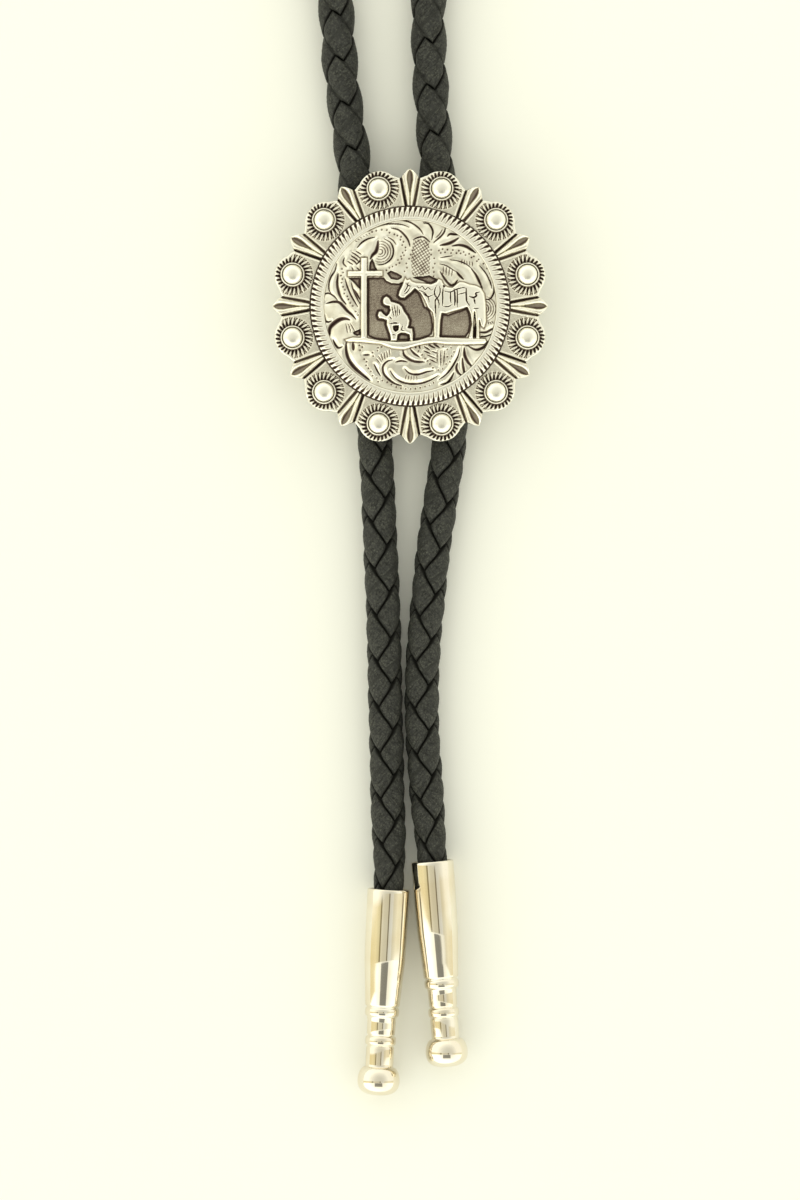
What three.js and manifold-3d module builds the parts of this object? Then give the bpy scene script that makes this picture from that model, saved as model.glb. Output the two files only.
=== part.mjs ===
// Bolo tie: a round cast slide on a braided leather cord with two metal tips.
// Millimetres, +Z up. The tie lies flat, face up, with its tips towards -Y.
// The origin is under the middle of the slide, on the surface that the tie lies on.

import * as THREE from "three";
import { mergeVertices } from "three/addons/utils/BufferGeometryUtils.js";
import Module from "manifold-3d";

// Driving dimensions: clearances
const GAP = 0.3;

// Driving dimensions: cord and clip
const CORD_DIAMETER = 5.5;
const CORD_SIDES = 10;
const CORD_STEP = 14;
const SHEET = 0.7;
const CHANNEL_RADIUS = 3.15;
const CHANNEL_SPACING = 13.6;
const CLIP_LENGTH = 18;
const CLIP_TURN = THREE.MathUtils.degToRad(4);
const CLIP_MIDDLE_X = -0.8;
const CLIP_LIP_ANGLE = 30;
const WEB_TAPER = 0.4;
const CLIP_CORD_HEIGHT = SHEET + CHANNEL_RADIUS;

// Driving dimensions: concho
const BACK_HEIGHT = CLIP_CORD_HEIGHT + CORD_DIAMETER / 2 + GAP;
const LOBES = 12;
const LOBE_CIRCLE = 19.6;
const LOBE_RADIUS = 3.55;
const FLANGE_THICKNESS = 1.4;
const LOBE_ARC_DEGREES = 52;
const LOBE_TOP_RADIUS = 3.35;
const STUD_CIRCLE = 20.2;
const BEZEL_RADIUS = 1.98;
const STUD_RADIUS = 1.53;
const STUD_FOOT = 0.7;
const FAN_INNER = 16.1;
const FAN_OUTER = 22.9;
const FAN_HEIGHT = 0.9;
const FAN_CREASE = 0.06;
const FAN_BEVEL = 0.25;
const DOME_RADIUS = 14.3;
const DOME_EDGE_HEIGHT = 0.75;
const DOME_RISE = 2.2;
const RELIEF_HEIGHT = 0.6;
const PANEL_DEPTH = 0.35;
const POST_RADIUS = 1.6;
const POST_LENGTH = 4.2;
const ROUND_SIDES = 48;
const SMALL_SIDES = 16;
const STUD_SIDES = 14;
const ROOT = 0.4;

// Half of a fan's outer end: distance from the concho's middle, distance from the fan's own middle.
const FAN_END = [
  { out: 21.3, across: -2.2 },
  { out: 22.2, across: -1.5 },
  { out: FAN_OUTER, across: 0 },
  { out: 22.2, across: 1.5 },
  { out: 21.3, across: 2.2 },
];

// One pleat of a fan, on the positive side of the crease.
const PLEAT = [
  { out: FAN_INNER, across: FAN_CREASE },
  { out: FAN_OUTER - 0.1, across: FAN_CREASE },
  { out: FAN_OUTER - 0.7, across: 1.45 },
  { out: FAN_INNER, across: 0.72 },
];

// Border ring round the dome: radius, height over the flange.
const BORDER_PROFILE = [
  { radius: 16.5, height: 0.4 },
  { radius: 16.0, height: 1.0 },
  { radius: 14.9, height: 1.0 },
];

// Bezel ring and stud: radius, height over the lobe's raised top.
const STUD_PROFILE = [
  { radius: BEZEL_RADIUS, height: 0.55 },
  { radius: BEZEL_RADIUS - 0.25, height: 0.55 },
  { radius: STUD_RADIUS, height: 0.35 },
  { radius: STUD_RADIUS * 0.87, height: 0.97 },
  { radius: STUD_RADIUS * 0.5, height: 1.3 },
  { radius: 0, height: 1.4 },
];

// Driving dimensions: tips
const SOCKET_RADIUS = 3.1;
const SOCKET_DEPTH = 11;
const CORD_IN_SOCKET = SOCKET_DEPTH - GAP;
const TIP_SIDES = 20;
const TIP_AXIS_HEIGHT = 3.55;
const TIP_MOUTH_LEFT = [-3.58, -97.12];
const TIP_MOUTH_RIGHT = [3.73, -92.43];
const TIP_LEAN_LEFT = THREE.MathUtils.degToRad(-3.0);
const TIP_LEAN_RIGHT = THREE.MathUtils.degToRad(4.3);

// Outside of a tip: distance from the mouth along the axis, radius there.
const TIP_PROFILE = [
  { along: 0.0, radius: 3.55 },
  { along: 6.0, radius: 3.51 },
  { along: 12.0, radius: 3.42 },
  { along: 19.4, radius: 2.92 },
  { along: 19.7, radius: 2.64 },
  { along: 20.0, radius: 2.84 },
  { along: 21.1, radius: 2.80 },
  { along: 21.4, radius: 2.50 },
  { along: 21.8, radius: 2.40 },
  { along: 24.2, radius: 2.37 },
  { along: 24.5, radius: 2.22 },
  { along: 24.8, radius: 2.55 },
  { along: 25.9, radius: 2.55 },
  { along: 26.2, radius: 2.24 },
  { along: 26.6, radius: 2.37 },
  { along: 29.8, radius: 2.34 },
  { along: 30.3, radius: 2.65 },
  { along: 31.0, radius: 3.22 },
  { along: 32.1, radius: 3.55 },
  { along: 33.2, radius: 3.15 },
  { along: 34.0, radius: 2.15 },
  { along: 34.5, radius: 0.90 },
];

// Cord routes: x, y, z of the cord's middle.
const NECK_ROUTE = [
  [-7.6, 0.15, 3.85],
  [-8.21, 8.5, 3.85],
  [-8.85, 16.5, 3.5],
  [-9.5, 24.8, 3.1],
  [-10.7, 33, 2.9],
  [-11.7, 41, 2.9],
  [-12.5, 50.8, 2.9],
  [-16.4, 70, 2.9],
  [-23.4, 91, 2.9],
  [-34, 113, 2.9],
  [-47.5, 135.5, 2.9],
  [-61.3, 159, 2.9],
  [-72, 184.5, 2.9],
  [-77, 211.5, 2.9],
  [-74.3, 238, 2.9],
  [-62.3, 261, 2.9],
  [-43.2, 276, 2.9],
  [-20.5, 282, 2.9],
  [3, 279, 2.9],
  [24, 267, 2.9],
  [39.2, 246, 2.9],
  [45.6, 220, 2.9],
  [44.5, 192.5, 2.9],
  [37.2, 165.5, 2.9],
  [26.8, 140.5, 2.9],
  [16.4, 116.5, 2.9],
  [8.9, 93.5, 2.9],
  [4.7, 71, 2.9],
  [3.1, 50.8, 2.9],
  [3.2, 42.8, 2.9],
  [3.6, 34.8, 2.9],
  [4.4, 24.8, 3.1],
  [4.85, 16.5, 3.5],
  [5.37, 9, 3.85],
  [6.0, 0.15, 3.85],
];
const TAIL_ROUTE_LEFT = [
  [-7.58, -0.15, 3.85],
  [-6.95, -9, 3.85],
  [-6.35, -16, 3.6],
  [-5.8, -23.2, 3.2],
  [-5.3, -31, 2.95],
  [-4.95, -40, 2.9],
  [-4.5, -49, 2.9],
  [-4.3, -58, 2.9],
  [-4.1, -66, 2.9],
  [-3.9, -74, 2.9],
  [-3.75, -82, 2.9],
  [-3.5, -89, 2.95],
  [-3.43, -93.2, 3.3],
];
const TAIL_ROUTE_RIGHT = [
  [6.02, -0.15, 3.85],
  [6.63, -9, 3.85],
  [6.85, -16, 3.6],
  [6.5, -23.2, 3.2],
  [5.7, -28.5, 2.95],
  [4.85, -34, 2.9],
  [4.1, -39, 2.9],
  [3.45, -44.5, 2.9],
  [2.9, -50, 2.9],
  [2.4, -55.5, 2.9],
  [2.05, -61, 2.9],
  [1.95, -67, 2.9],
  [2.15, -72.5, 2.9],
  [2.55, -78, 2.9],
  [2.9, -82.5, 2.95],
  [3.25, -86.5, 3.15],
  [3.5, -89.5, 3.45],
];

// Raised figures of the scene, each a closed outline of x, y from the concho's middle.
const CROSS_UPRIGHT = { left: -8.2, right: -7.1, low: -5.6, high: 8.0 };
const CROSS_ARM = { left: -10.4, right: -4.5, low: 4.85, high: 5.85 };
const GROUND = [
  [-10.8, -5.7], [-9.6, -5.2], [-6.9, -5.3], [-4.0, -5.8], [0.7, -6.1], [4.1, -5.2], [8.4, -5.3],
  [12.5, -5.7], [12.3, -6.5], [8.4, -6.2], [4.1, -6.2], [1.1, -7.0], [-1.4, -7.2], [-4.4, -6.5],
  [-8.0, -6.2], [-10.6, -6.3],
];
const HORSE = [
  [-0.4, 5.0], [-1.0, 4.1], [-2.0, 2.2], [-1.8, 1.3], [-1.1, 1.3], [-0.3, 2.3], [0.6, 3.0],
  [1.8, 1.5], [2.8, -0.5], [3.8, -1.1], [4.1, -2.6], [4.0, -5.5], [4.95, -5.5], [4.95, -2.4],
  [5.4, -1.0], [8.0, -0.4], [9.8, -0.2], [10.2, -2.0], [10.1, -5.5], [11.1, -5.5], [11.3, -2.5],
  [11.9, -3.4], [12.5, -2.6], [12.3, 1.0], [12.1, 2.7], [9.4, 3.5], [6.4, 3.1], [5.2, 4.1],
  [4.1, 3.7], [1.9, 4.1], [0.2, 4.4],
];
const RIDER = [
  [-4.4, 1.3], [-3.6, 1.4], [-3.1, 0.6], [-1.8, 0.1], [-0.8, -1.2], [0.0, -2.6], [-0.3, -3.6],
  [0.5, -4.0], [0.5, -5.9], [-0.2, -5.9], [-0.4, -4.7], [-1.9, -4.4], [-2.2, -5.9], [-3.2, -5.9],
  [-3.3, -4.4], [-4.2, -3.1], [-4.2, -2.2], [-5.3, -1.9], [-5.2, -0.9], [-4.2, -1.5], [-3.5, -0.9],
  [-3.9, 0.2], [-4.5, 0.3],
];

// Sunk panels between the figures.
const PANEL_LEFT = [
  [-7.5, 5.2], [-4.6, 5.2], [-3.9, 4.6], [-2.9, 3.9], [-1.0, 3.9], [0.8, 3.6], [2.3, 1.6],
  [3.1, -0.2], [4.4, -0.9], [4.5, -5.6], [0.7, -6.4], [-3.9, -6.1], [-7.5, -5.7],
];
const PANEL_RIGHT = [[4.6, -0.8], [8.0, -0.1], [10.6, 0.2], [10.6, -5.6], [4.6, -5.6]];

// Materials
const ANTIQUE_SILVER = new THREE.MeshStandardMaterial({ color: "#c9c6bd", roughness: 0.3, metalness: 1 });
const STAMPED_NICKEL = new THREE.MeshStandardMaterial({ color: "#b9b7b0", roughness: 0.4, metalness: 1 });
const POLISHED_NICKEL = new THREE.MeshStandardMaterial({ color: "#d9d3c0", roughness: 0.1, metalness: 1 });
const BLACK_LEATHER = new THREE.MeshStandardMaterial({ color: "#262524", roughness: 0.7, metalness: 0 });

// Joining and cutting of closed shapes
const wasm = await Module();
wasm.setup();

function solidOf(geometry) {
  const bare = geometry.index ? geometry.toNonIndexed() : geometry.clone();
  bare.deleteAttribute("normal");
  bare.deleteAttribute("uv");
  const merged = mergeVertices(bare, 1e-4);
  const corners = merged.index.array;
  const kept = [];
  for (let i = 0; i < corners.length; i += 3) {
    const [a, b, c] = [corners[i], corners[i + 1], corners[i + 2]];
    if (a !== b && b !== c && c !== a) kept.push(a, b, c);
  }
  return new wasm.Manifold(new wasm.Mesh({
    numProp: 3,
    vertProperties: new Float32Array(merged.attributes.position.array),
    triVerts: new Uint32Array(kept),
  }));
}

function geometryOf(solid) {
  const mesh = solid.getMesh();
  const geometry = new THREE.BufferGeometry();
  geometry.setAttribute("position", new THREE.BufferAttribute(new Float32Array(mesh.vertProperties), 3));
  geometry.setIndex(new THREE.BufferAttribute(new Uint32Array(mesh.triVerts), 1));
  geometry.computeVertexNormals();
  return geometry;
}

function joined(solids) {
  return solids.reduce((whole, next) => whole.add(next));
}

// Shapes
function shapeOf(points) {
  return new THREE.Shape(points.map(([x, y]) => new THREE.Vector2(x, y)));
}

function prism(points, low, high) {
  const geometry = new THREE.ExtrudeGeometry(shapeOf(points), { depth: high - low, bevelEnabled: false });
  return geometry.translate(0, 0, low);
}

function rectangle({ left, right, low, high }) {
  return [[left, low], [right, low], [right, high], [left, high]];
}

// A profile of radius and height, from the axis at the bottom to the axis at the top.
function turned(profile, sides) {
  const points = profile.map(([radius, height]) => new THREE.Vector2(radius, height));
  return new THREE.LatheGeometry(points, sides).rotateX(Math.PI / 2);
}

function arcPoints(middleX, middleY, radius, fromDegrees, toDegrees, steps) {
  const points = [];
  for (let i = 0; i <= steps; i += 1) {
    const angle = THREE.MathUtils.degToRad(fromDegrees + ((toDegrees - fromDegrees) * i) / steps);
    points.push([middleX + radius * Math.cos(angle), middleY + radius * Math.sin(angle)]);
  }
  return points;
}

function turnedPoint([x, y], degrees) {
  const angle = THREE.MathUtils.degToRad(degrees);
  return [x * Math.cos(angle) - y * Math.sin(angle), x * Math.sin(angle) + y * Math.cos(angle)];
}

// Concho: the scalloped outline, one lobe and one fan end for each twelfth
const SECTOR = 360 / LOBES;
const flangeTop = BACK_HEIGHT + FLANGE_THICKNESS;

function outAndAcross({ out, across }) {
  return [out, across];
}

function flangeOutline() {
  const lobe = arcPoints(LOBE_CIRCLE, 0, LOBE_RADIUS, -LOBE_ARC_DEGREES, LOBE_ARC_DEGREES, 8);
  const fanEnd = FAN_END.map(outAndAcross);
  const outline = [];
  for (let i = 0; i < LOBES; i += 1) {
    const lobeTurn = SECTOR * (i + 0.5);
    outline.push(...lobe.map((point) => turnedPoint(point, lobeTurn)));
    outline.push(...fanEnd.map((point) => turnedPoint(point, lobeTurn + SECTOR / 2)));
  }
  return outline;
}

// The dome, or a surface that lies the offset above it
function domeHeight(radius) {
  return flangeTop + DOME_EDGE_HEIGHT + DOME_RISE * (1 - (radius / DOME_RADIUS) ** 2);
}

function domeProfile(offset) {
  const radii = [DOME_RADIUS, 12, 9.5, 6.5, 3.2, 0];
  return radii.map((radius) => [radius, domeHeight(radius) + offset]);
}

function underDome(offset) {
  const profile = [[0, flangeTop], [DOME_RADIUS, flangeTop], ...domeProfile(offset)];
  return solidOf(turned(profile, ROUND_SIDES));
}

function centreBoss() {
  const border = BORDER_PROFILE.map(({ radius, height }) => [radius, flangeTop + height]);
  const low = flangeTop - ROOT;
  const profile = [[0, low], [border[0][0], low], ...border, ...domeProfile(0)];
  return solidOf(turned(profile, ROUND_SIDES));
}

// One lobe's raised top, bezel ring and stud
function lobeTop() {
  const low = flangeTop - ROOT;
  const footHeight = flangeTop + STUD_FOOT;
  const pad = turned([
    [0, low],
    [LOBE_TOP_RADIUS, low],
    [LOBE_TOP_RADIUS - 0.15, flangeTop + 0.15],
    [BEZEL_RADIUS, footHeight],
    [0, footHeight],
  ], SMALL_SIDES).translate(LOBE_CIRCLE, 0, 0);
  const ring = STUD_PROFILE.map(({ radius, height }) => [radius, footHeight + height]);
  const stud = turned([[0, flangeTop], [BEZEL_RADIUS, flangeTop], ...ring], STUD_SIDES)
    .translate(STUD_CIRCLE, 0, 0);
  return solidOf(pad).add(solidOf(stud));
}

// One fan: two raised pleats with a crease between them
function fanPleats() {
  return [1, -1].map((side) => {
    const outline = PLEAT.map(({ out, across }) => [out, across * side]);
    const geometry = new THREE.ExtrudeGeometry(shapeOf(outline), {
      depth: FAN_HEIGHT - FAN_BEVEL + ROOT,
      bevelThickness: FAN_BEVEL,
      bevelSize: FAN_BEVEL,
      bevelOffset: -FAN_BEVEL,
      bevelSegments: 1,
    });
    return solidOf(geometry.translate(0, 0, flangeTop - ROOT));
  });
}

// Raised figures follow the dome, one relief height above it
function sceneRelief() {
  const outlines = [rectangle(CROSS_UPRIGHT), rectangle(CROSS_ARM), GROUND, HORSE, RIDER];
  const low = flangeTop + GAP;
  const high = domeHeight(0) + 2 * RELIEF_HEIGHT;
  const figures = joined(outlines.map((outline) => solidOf(prism(outline, low, high))));
  return figures.intersect(underDome(RELIEF_HEIGHT));
}

function scenePanels() {
  const low = flangeTop + GAP;
  const high = domeHeight(0) + RELIEF_HEIGHT;
  const cuts = joined([PANEL_LEFT, PANEL_RIGHT].map((outline) => solidOf(prism(outline, low, high))));
  return cuts.subtract(underDome(-PANEL_DEPTH));
}

function turnedCopies(solid, firstTurn) {
  const copies = [];
  for (let i = 0; i < LOBES; i += 1) copies.push(solid.rotate([0, 0, firstTurn + SECTOR * i]));
  return copies;
}

function concho() {
  const flange = solidOf(prism(flangeOutline(), BACK_HEIGHT, flangeTop));
  const post = solidOf(turned([
    [0, BACK_HEIGHT - POST_LENGTH],
    [POST_RADIUS, BACK_HEIGHT - POST_LENGTH],
    [POST_RADIUS, BACK_HEIGHT + ROOT],
    [0, BACK_HEIGHT + ROOT],
  ], SMALL_SIDES));
  const fans = fanPleats().flatMap((pleat) => turnedCopies(pleat, 0));
  const lobes = turnedCopies(lobeTop(), SECTOR / 2);
  const body = joined([flange, ...fans, ...lobes, centreBoss(), post]);
  return geometryOf(body.subtract(scenePanels()).add(sceneRelief()));
}

// Clip: a bent sheet with two channels for the cord and a web between them that takes the post
function clipOutline() {
  const side = CHANNEL_SPACING / 2;
  const outer = CHANNEL_RADIUS + SHEET;
  const height = CLIP_CORD_HEIGHT;
  const webHalf = side - CHANNEL_RADIUS * Math.cos(THREE.MathUtils.degToRad(CLIP_LIP_ANGLE));
  const webTop = BACK_HEIGHT - GAP;
  const rightHalf = [
    ...arcPoints(side, height, outer, -90, CLIP_LIP_ANGLE, 8),
    ...arcPoints(side, height, CHANNEL_RADIUS, CLIP_LIP_ANGLE, -180 - CLIP_LIP_ANGLE, 16),
    [webHalf - WEB_TAPER, webTop],
  ];
  const leftHalf = rightHalf.map(([across, up]) => [-across, up]).reverse();
  return [...rightHalf, ...leftHalf];
}

function backClip() {
  const bar = new THREE.ExtrudeGeometry(shapeOf(clipOutline()), { depth: CLIP_LENGTH, bevelEnabled: false })
    .translate(0, 0, -CLIP_LENGTH / 2)
    .rotateX(Math.PI / 2)
    .rotateZ(CLIP_TURN)
    .translate(CLIP_MIDDLE_X, 0, 0);
  const boreLow = BACK_HEIGHT - POST_LENGTH - GAP;
  const boreRadius = POST_RADIUS + GAP + 0.05;
  const bore = turned([
    [0, boreLow],
    [boreRadius, boreLow],
    [boreRadius, BACK_HEIGHT],
    [0, BACK_HEIGHT],
  ], SMALL_SIDES);
  return geometryOf(solidOf(bar).subtract(solidOf(bore)));
}

// Cord: a round tube along its route
function cordTube(route) {
  const path = new THREE.CatmullRomCurve3(route.map((point) => new THREE.Vector3(...point)));
  path.arcLengthDivisions = 1000;
  const steps = Math.ceil(path.getLength() / CORD_STEP);
  const section = arcPoints(0, 0, CORD_DIAMETER / 2, 0, 360 - 360 / CORD_SIDES, CORD_SIDES - 1);
  return new THREE.ExtrudeGeometry(shapeOf(section), { steps, extrudePath: path, bevelEnabled: false });
}

// The cord's last stretch runs on the tip's axis, from just outside the mouth to inside the socket
function tailRoute(route, [mouthX, mouthY], lean) {
  const along = (distance) => [
    mouthX + distance * Math.sin(lean),
    mouthY - distance * Math.cos(lean),
    TIP_AXIS_HEIGHT,
  ];
  return [...route, along(-1), along(1), along(CORD_IN_SOCKET / 2), along(CORD_IN_SOCKET)];
}

// Tip: a turned cup, with its mouth at the origin and its ball along -Y
function tipCup() {
  const outside = TIP_PROFILE.map(({ along, radius }) => [radius, along]);
  const inside = [[0, SOCKET_DEPTH], [SOCKET_RADIUS, SOCKET_DEPTH], [SOCKET_RADIUS, 0]];
  const end = TIP_PROFILE[TIP_PROFILE.length - 1].along;
  return turned([...inside, ...outside, [0, end]], TIP_SIDES).rotateX(Math.PI / 2);
}

function placedTip(name, [mouthX, mouthY], lean) {
  const tip = new THREE.Mesh(tipCup(), POLISHED_NICKEL);
  tip.name = name;
  tip.position.set(mouthX, mouthY, TIP_AXIS_HEIGHT);
  tip.rotation.z = lean;
  return tip;
}

// Assembly
function named(name, geometry, material) {
  const mesh = new THREE.Mesh(geometry, material);
  mesh.name = name;
  return mesh;
}

const tailLeft = tailRoute(TAIL_ROUTE_LEFT, TIP_MOUTH_LEFT, TIP_LEAN_LEFT);
const tailRight = tailRoute(TAIL_ROUTE_RIGHT, TIP_MOUTH_RIGHT, TIP_LEAN_RIGHT);

const boloTie = new THREE.Group();
boloTie.add(named("concho", concho(), ANTIQUE_SILVER));
boloTie.add(named("back_clip", backClip(), STAMPED_NICKEL));
boloTie.add(named("neck_loop", cordTube(NECK_ROUTE), BLACK_LEATHER));
boloTie.add(named("tail_left", cordTube(tailLeft), BLACK_LEATHER));
boloTie.add(named("tail_right", cordTube(tailRight), BLACK_LEATHER));
boloTie.add(placedTip("tip_left", TIP_MOUTH_LEFT, TIP_LEAN_LEFT));
boloTie.add(placedTip("tip_right", TIP_MOUTH_RIGHT, TIP_LEAN_RIGHT));

export default boloTie;
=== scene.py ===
import math

import bpy
import numpy as np
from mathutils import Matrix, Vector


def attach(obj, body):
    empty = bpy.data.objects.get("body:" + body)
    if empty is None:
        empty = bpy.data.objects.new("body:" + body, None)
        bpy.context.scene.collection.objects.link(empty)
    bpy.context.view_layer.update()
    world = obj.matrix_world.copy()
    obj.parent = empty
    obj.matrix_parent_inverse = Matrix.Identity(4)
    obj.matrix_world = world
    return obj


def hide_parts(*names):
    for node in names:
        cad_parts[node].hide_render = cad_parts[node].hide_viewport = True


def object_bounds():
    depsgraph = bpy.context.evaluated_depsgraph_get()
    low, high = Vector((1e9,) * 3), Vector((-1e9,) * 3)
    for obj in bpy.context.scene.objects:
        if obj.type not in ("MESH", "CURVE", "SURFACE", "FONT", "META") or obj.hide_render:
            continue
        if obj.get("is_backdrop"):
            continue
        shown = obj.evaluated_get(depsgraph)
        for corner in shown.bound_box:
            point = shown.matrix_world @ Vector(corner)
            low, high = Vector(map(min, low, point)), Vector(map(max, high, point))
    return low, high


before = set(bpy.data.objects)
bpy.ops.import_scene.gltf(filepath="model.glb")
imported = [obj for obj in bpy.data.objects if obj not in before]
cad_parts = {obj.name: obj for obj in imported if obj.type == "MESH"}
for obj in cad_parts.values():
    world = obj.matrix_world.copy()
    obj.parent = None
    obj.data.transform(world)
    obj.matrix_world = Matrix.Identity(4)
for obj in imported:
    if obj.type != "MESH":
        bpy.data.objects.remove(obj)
cad_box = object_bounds()

MM = 0.001


# Small helpers
def linear(hex_colour):
    """An sRGB hex colour as linear red, green, blue and 1."""
    parts = [int(hex_colour[i : i + 2], 16) / 255 for i in (1, 3, 5)]
    return [p / 12.92 if p <= 0.04045 else ((p + 0.055) / 1.055) ** 2.4 for p in parts] + [1.0]


def deselect():
    if bpy.context.mode != "OBJECT":
        bpy.ops.object.mode_set(mode="OBJECT")
    bpy.ops.object.select_all(action="DESELECT")


def activate(obj):
    deselect()
    obj.select_set(True)
    bpy.context.view_layer.objects.active = obj


def mesh_piece(name, points, faces):
    """A piece from its points in metres and its faces."""
    mesh = bpy.data.meshes.new(name)
    mesh.from_pydata([], [], [])
    points = np.asarray(points, np.float32)
    faces = [np.asarray(f, np.int32) for f in faces]
    corners = np.concatenate([f.ravel() for f in faces])
    sizes = np.concatenate([np.full(len(f), f.shape[1]) for f in faces])
    mesh.vertices.add(len(points))
    mesh.vertices.foreach_set("co", points.ravel())
    mesh.loops.add(len(corners))
    mesh.loops.foreach_set("vertex_index", corners)
    mesh.polygons.add(len(sizes))
    mesh.polygons.foreach_set("loop_start", np.concatenate([[0], np.cumsum(sizes)[:-1]]))
    mesh.update(calc_edges=True)
    mesh.validate()
    obj = bpy.data.objects.new(name, mesh)
    bpy.context.collection.objects.link(obj)
    return obj


def smooth(obj, degrees=40):
    activate(obj)
    bpy.ops.object.shade_smooth_by_angle(angle=math.radians(degrees))
    deselect()


def attribute(obj, name, values):
    layer = obj.data.attributes.new(name, "FLOAT", "POINT")
    layer.data.foreach_set("value", np.asarray(values, np.float32))


def paint(obj, material):
    obj.data.materials.clear()
    obj.data.materials.append(material)


def ramp01(x, low, high):
    """0 at low, 1 at high, and smooth between them."""
    t = np.clip((np.asarray(x, float) - low) / (high - low), 0, 1)
    return t * t * (3 - 2 * t)


# Camera: straight overhead, 200 mm of the tie from top to bottom of the picture
camera_data = bpy.data.cameras.new("camera")
camera_data.sensor_width = 36
camera_data.lens = 160.9
camera_data.clip_start = 0.05
camera = bpy.data.objects.new("camera", camera_data)
camera.location = (-1.667 * MM, -48.83 * MM, 0.9)
bpy.context.collection.objects.link(camera)
bpy.context.scene.camera = camera

# Braided cord: sizes in millimetres. STRAND_STEP is one crossing along or across a strand
STRAND_STEP = 2.73
STRAND_MIDDLE = 2.3
STRAND_WAVE = 0.36
STRAND_CROWN = 0.22
STRAND_HALF = 0.94
CORE = 2.0
OVERLAP = 0.34
SEAM_DEPTH = 0.42
FLATTENED = 1.06

NECK_ROUTE = [
    (-7.6, 0.15, 3.85), (-8.21, 8.5, 3.85), (-8.85, 16.5, 3.5), (-9.5, 24.8, 3.1),
    (-10.7, 33, 2.9), (-11.7, 41, 2.9), (-12.5, 50.8, 2.9), (-16.4, 70, 2.9),
    (-23.4, 91, 2.9), (-34, 113, 2.9), (-47.5, 135.5, 2.9), (-61.3, 159, 2.9),
    (-72, 184.5, 2.9), (-77, 211.5, 2.9), (-74.3, 238, 2.9), (-62.3, 261, 2.9),
    (-43.2, 276, 2.9), (-20.5, 282, 2.9), (3, 279, 2.9), (24, 267, 2.9),
    (39.2, 246, 2.9), (45.6, 220, 2.9), (44.5, 192.5, 2.9), (37.2, 165.5, 2.9),
    (26.8, 140.5, 2.9), (16.4, 116.5, 2.9), (8.9, 93.5, 2.9), (4.7, 71, 2.9),
    (3.1, 50.8, 2.9), (3.2, 42.8, 2.9), (3.6, 34.8, 2.9), (4.4, 24.8, 3.1),
    (4.85, 16.5, 3.5), (5.37, 9, 3.85), (6.0, 0.15, 3.85),
]
TAIL_ROUTE_LEFT = [
    (-7.58, -0.15, 3.85), (-6.95, -9, 3.85), (-6.35, -16, 3.6), (-5.8, -23.2, 3.2),
    (-5.3, -31, 2.95), (-4.95, -40, 2.9), (-4.5, -49, 2.9), (-4.3, -58, 2.9),
    (-4.1, -66, 2.9), (-3.9, -74, 2.9), (-3.75, -82, 2.9), (-3.5, -89, 2.95),
    (-3.43, -93.2, 3.3),
]
TAIL_ROUTE_RIGHT = [
    (6.02, -0.15, 3.85), (6.63, -9, 3.85), (6.85, -16, 3.6), (6.5, -23.2, 3.2),
    (5.7, -28.5, 2.95), (4.85, -34, 2.9), (4.1, -39, 2.9), (3.45, -44.5, 2.9),
    (2.9, -50, 2.9), (2.4, -55.5, 2.9), (2.05, -61, 2.9), (1.95, -67, 2.9),
    (2.15, -72.5, 2.9), (2.55, -78, 2.9), (2.9, -82.5, 2.95), (3.25, -86.5, 3.15),
    (3.5, -89.5, 3.45),
]

# Tips: mouth and lean of each, and the turned outline (distance from the mouth, radius)
TIP_AXIS_HEIGHT = 3.55
TIPS = {
    "tip_left": ((-3.58, -97.12), math.radians(-3.0)),
    "tip_right": ((3.73, -92.43), math.radians(4.3)),
}
CORD_IN_SOCKET = 10.7


def tail_route(route, mouth, lean):
    """The route with its last stretch on the tip's axis, into the socket."""
    ends = [
        (mouth[0] + d * math.sin(lean), mouth[1] - d * math.cos(lean), TIP_AXIS_HEIGHT)
        for d in (-1, 1, CORD_IN_SOCKET / 2, CORD_IN_SOCKET)
    ]
    return route + ends


def curve_points(route, per_span=24):
    """Points of the centripetal Catmull-Rom curve through the route, in millimetres."""
    p = np.array(route, float)
    p = np.vstack([2 * p[0] - p[1], p, 2 * p[-1] - p[-2]])
    out = []
    for a, b, c, d in zip(p[:-3], p[1:-2], p[2:-1], p[3:]):
        t0, t1, t2 = (np.sqrt(np.linalg.norm(v - u)) for u, v in ((a, b), (b, c), (c, d)))
        m1 = ((b - a) / t0 - (c - a) / (t0 + t1) + (c - b) / t1) * t1
        m2 = ((c - b) / t1 - (d - b) / (t1 + t2) + (d - c) / t2) * t1
        t = np.linspace(0, 1, per_span, endpoint=False)[:, None]
        out.append(b + m1 * t + (3 * (c - b) - 2 * m1 - m2) * t**2 + (2 * (b - c) + m1 + m2) * t**3)
    return np.vstack([*out, p[-2:-1]])


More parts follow.
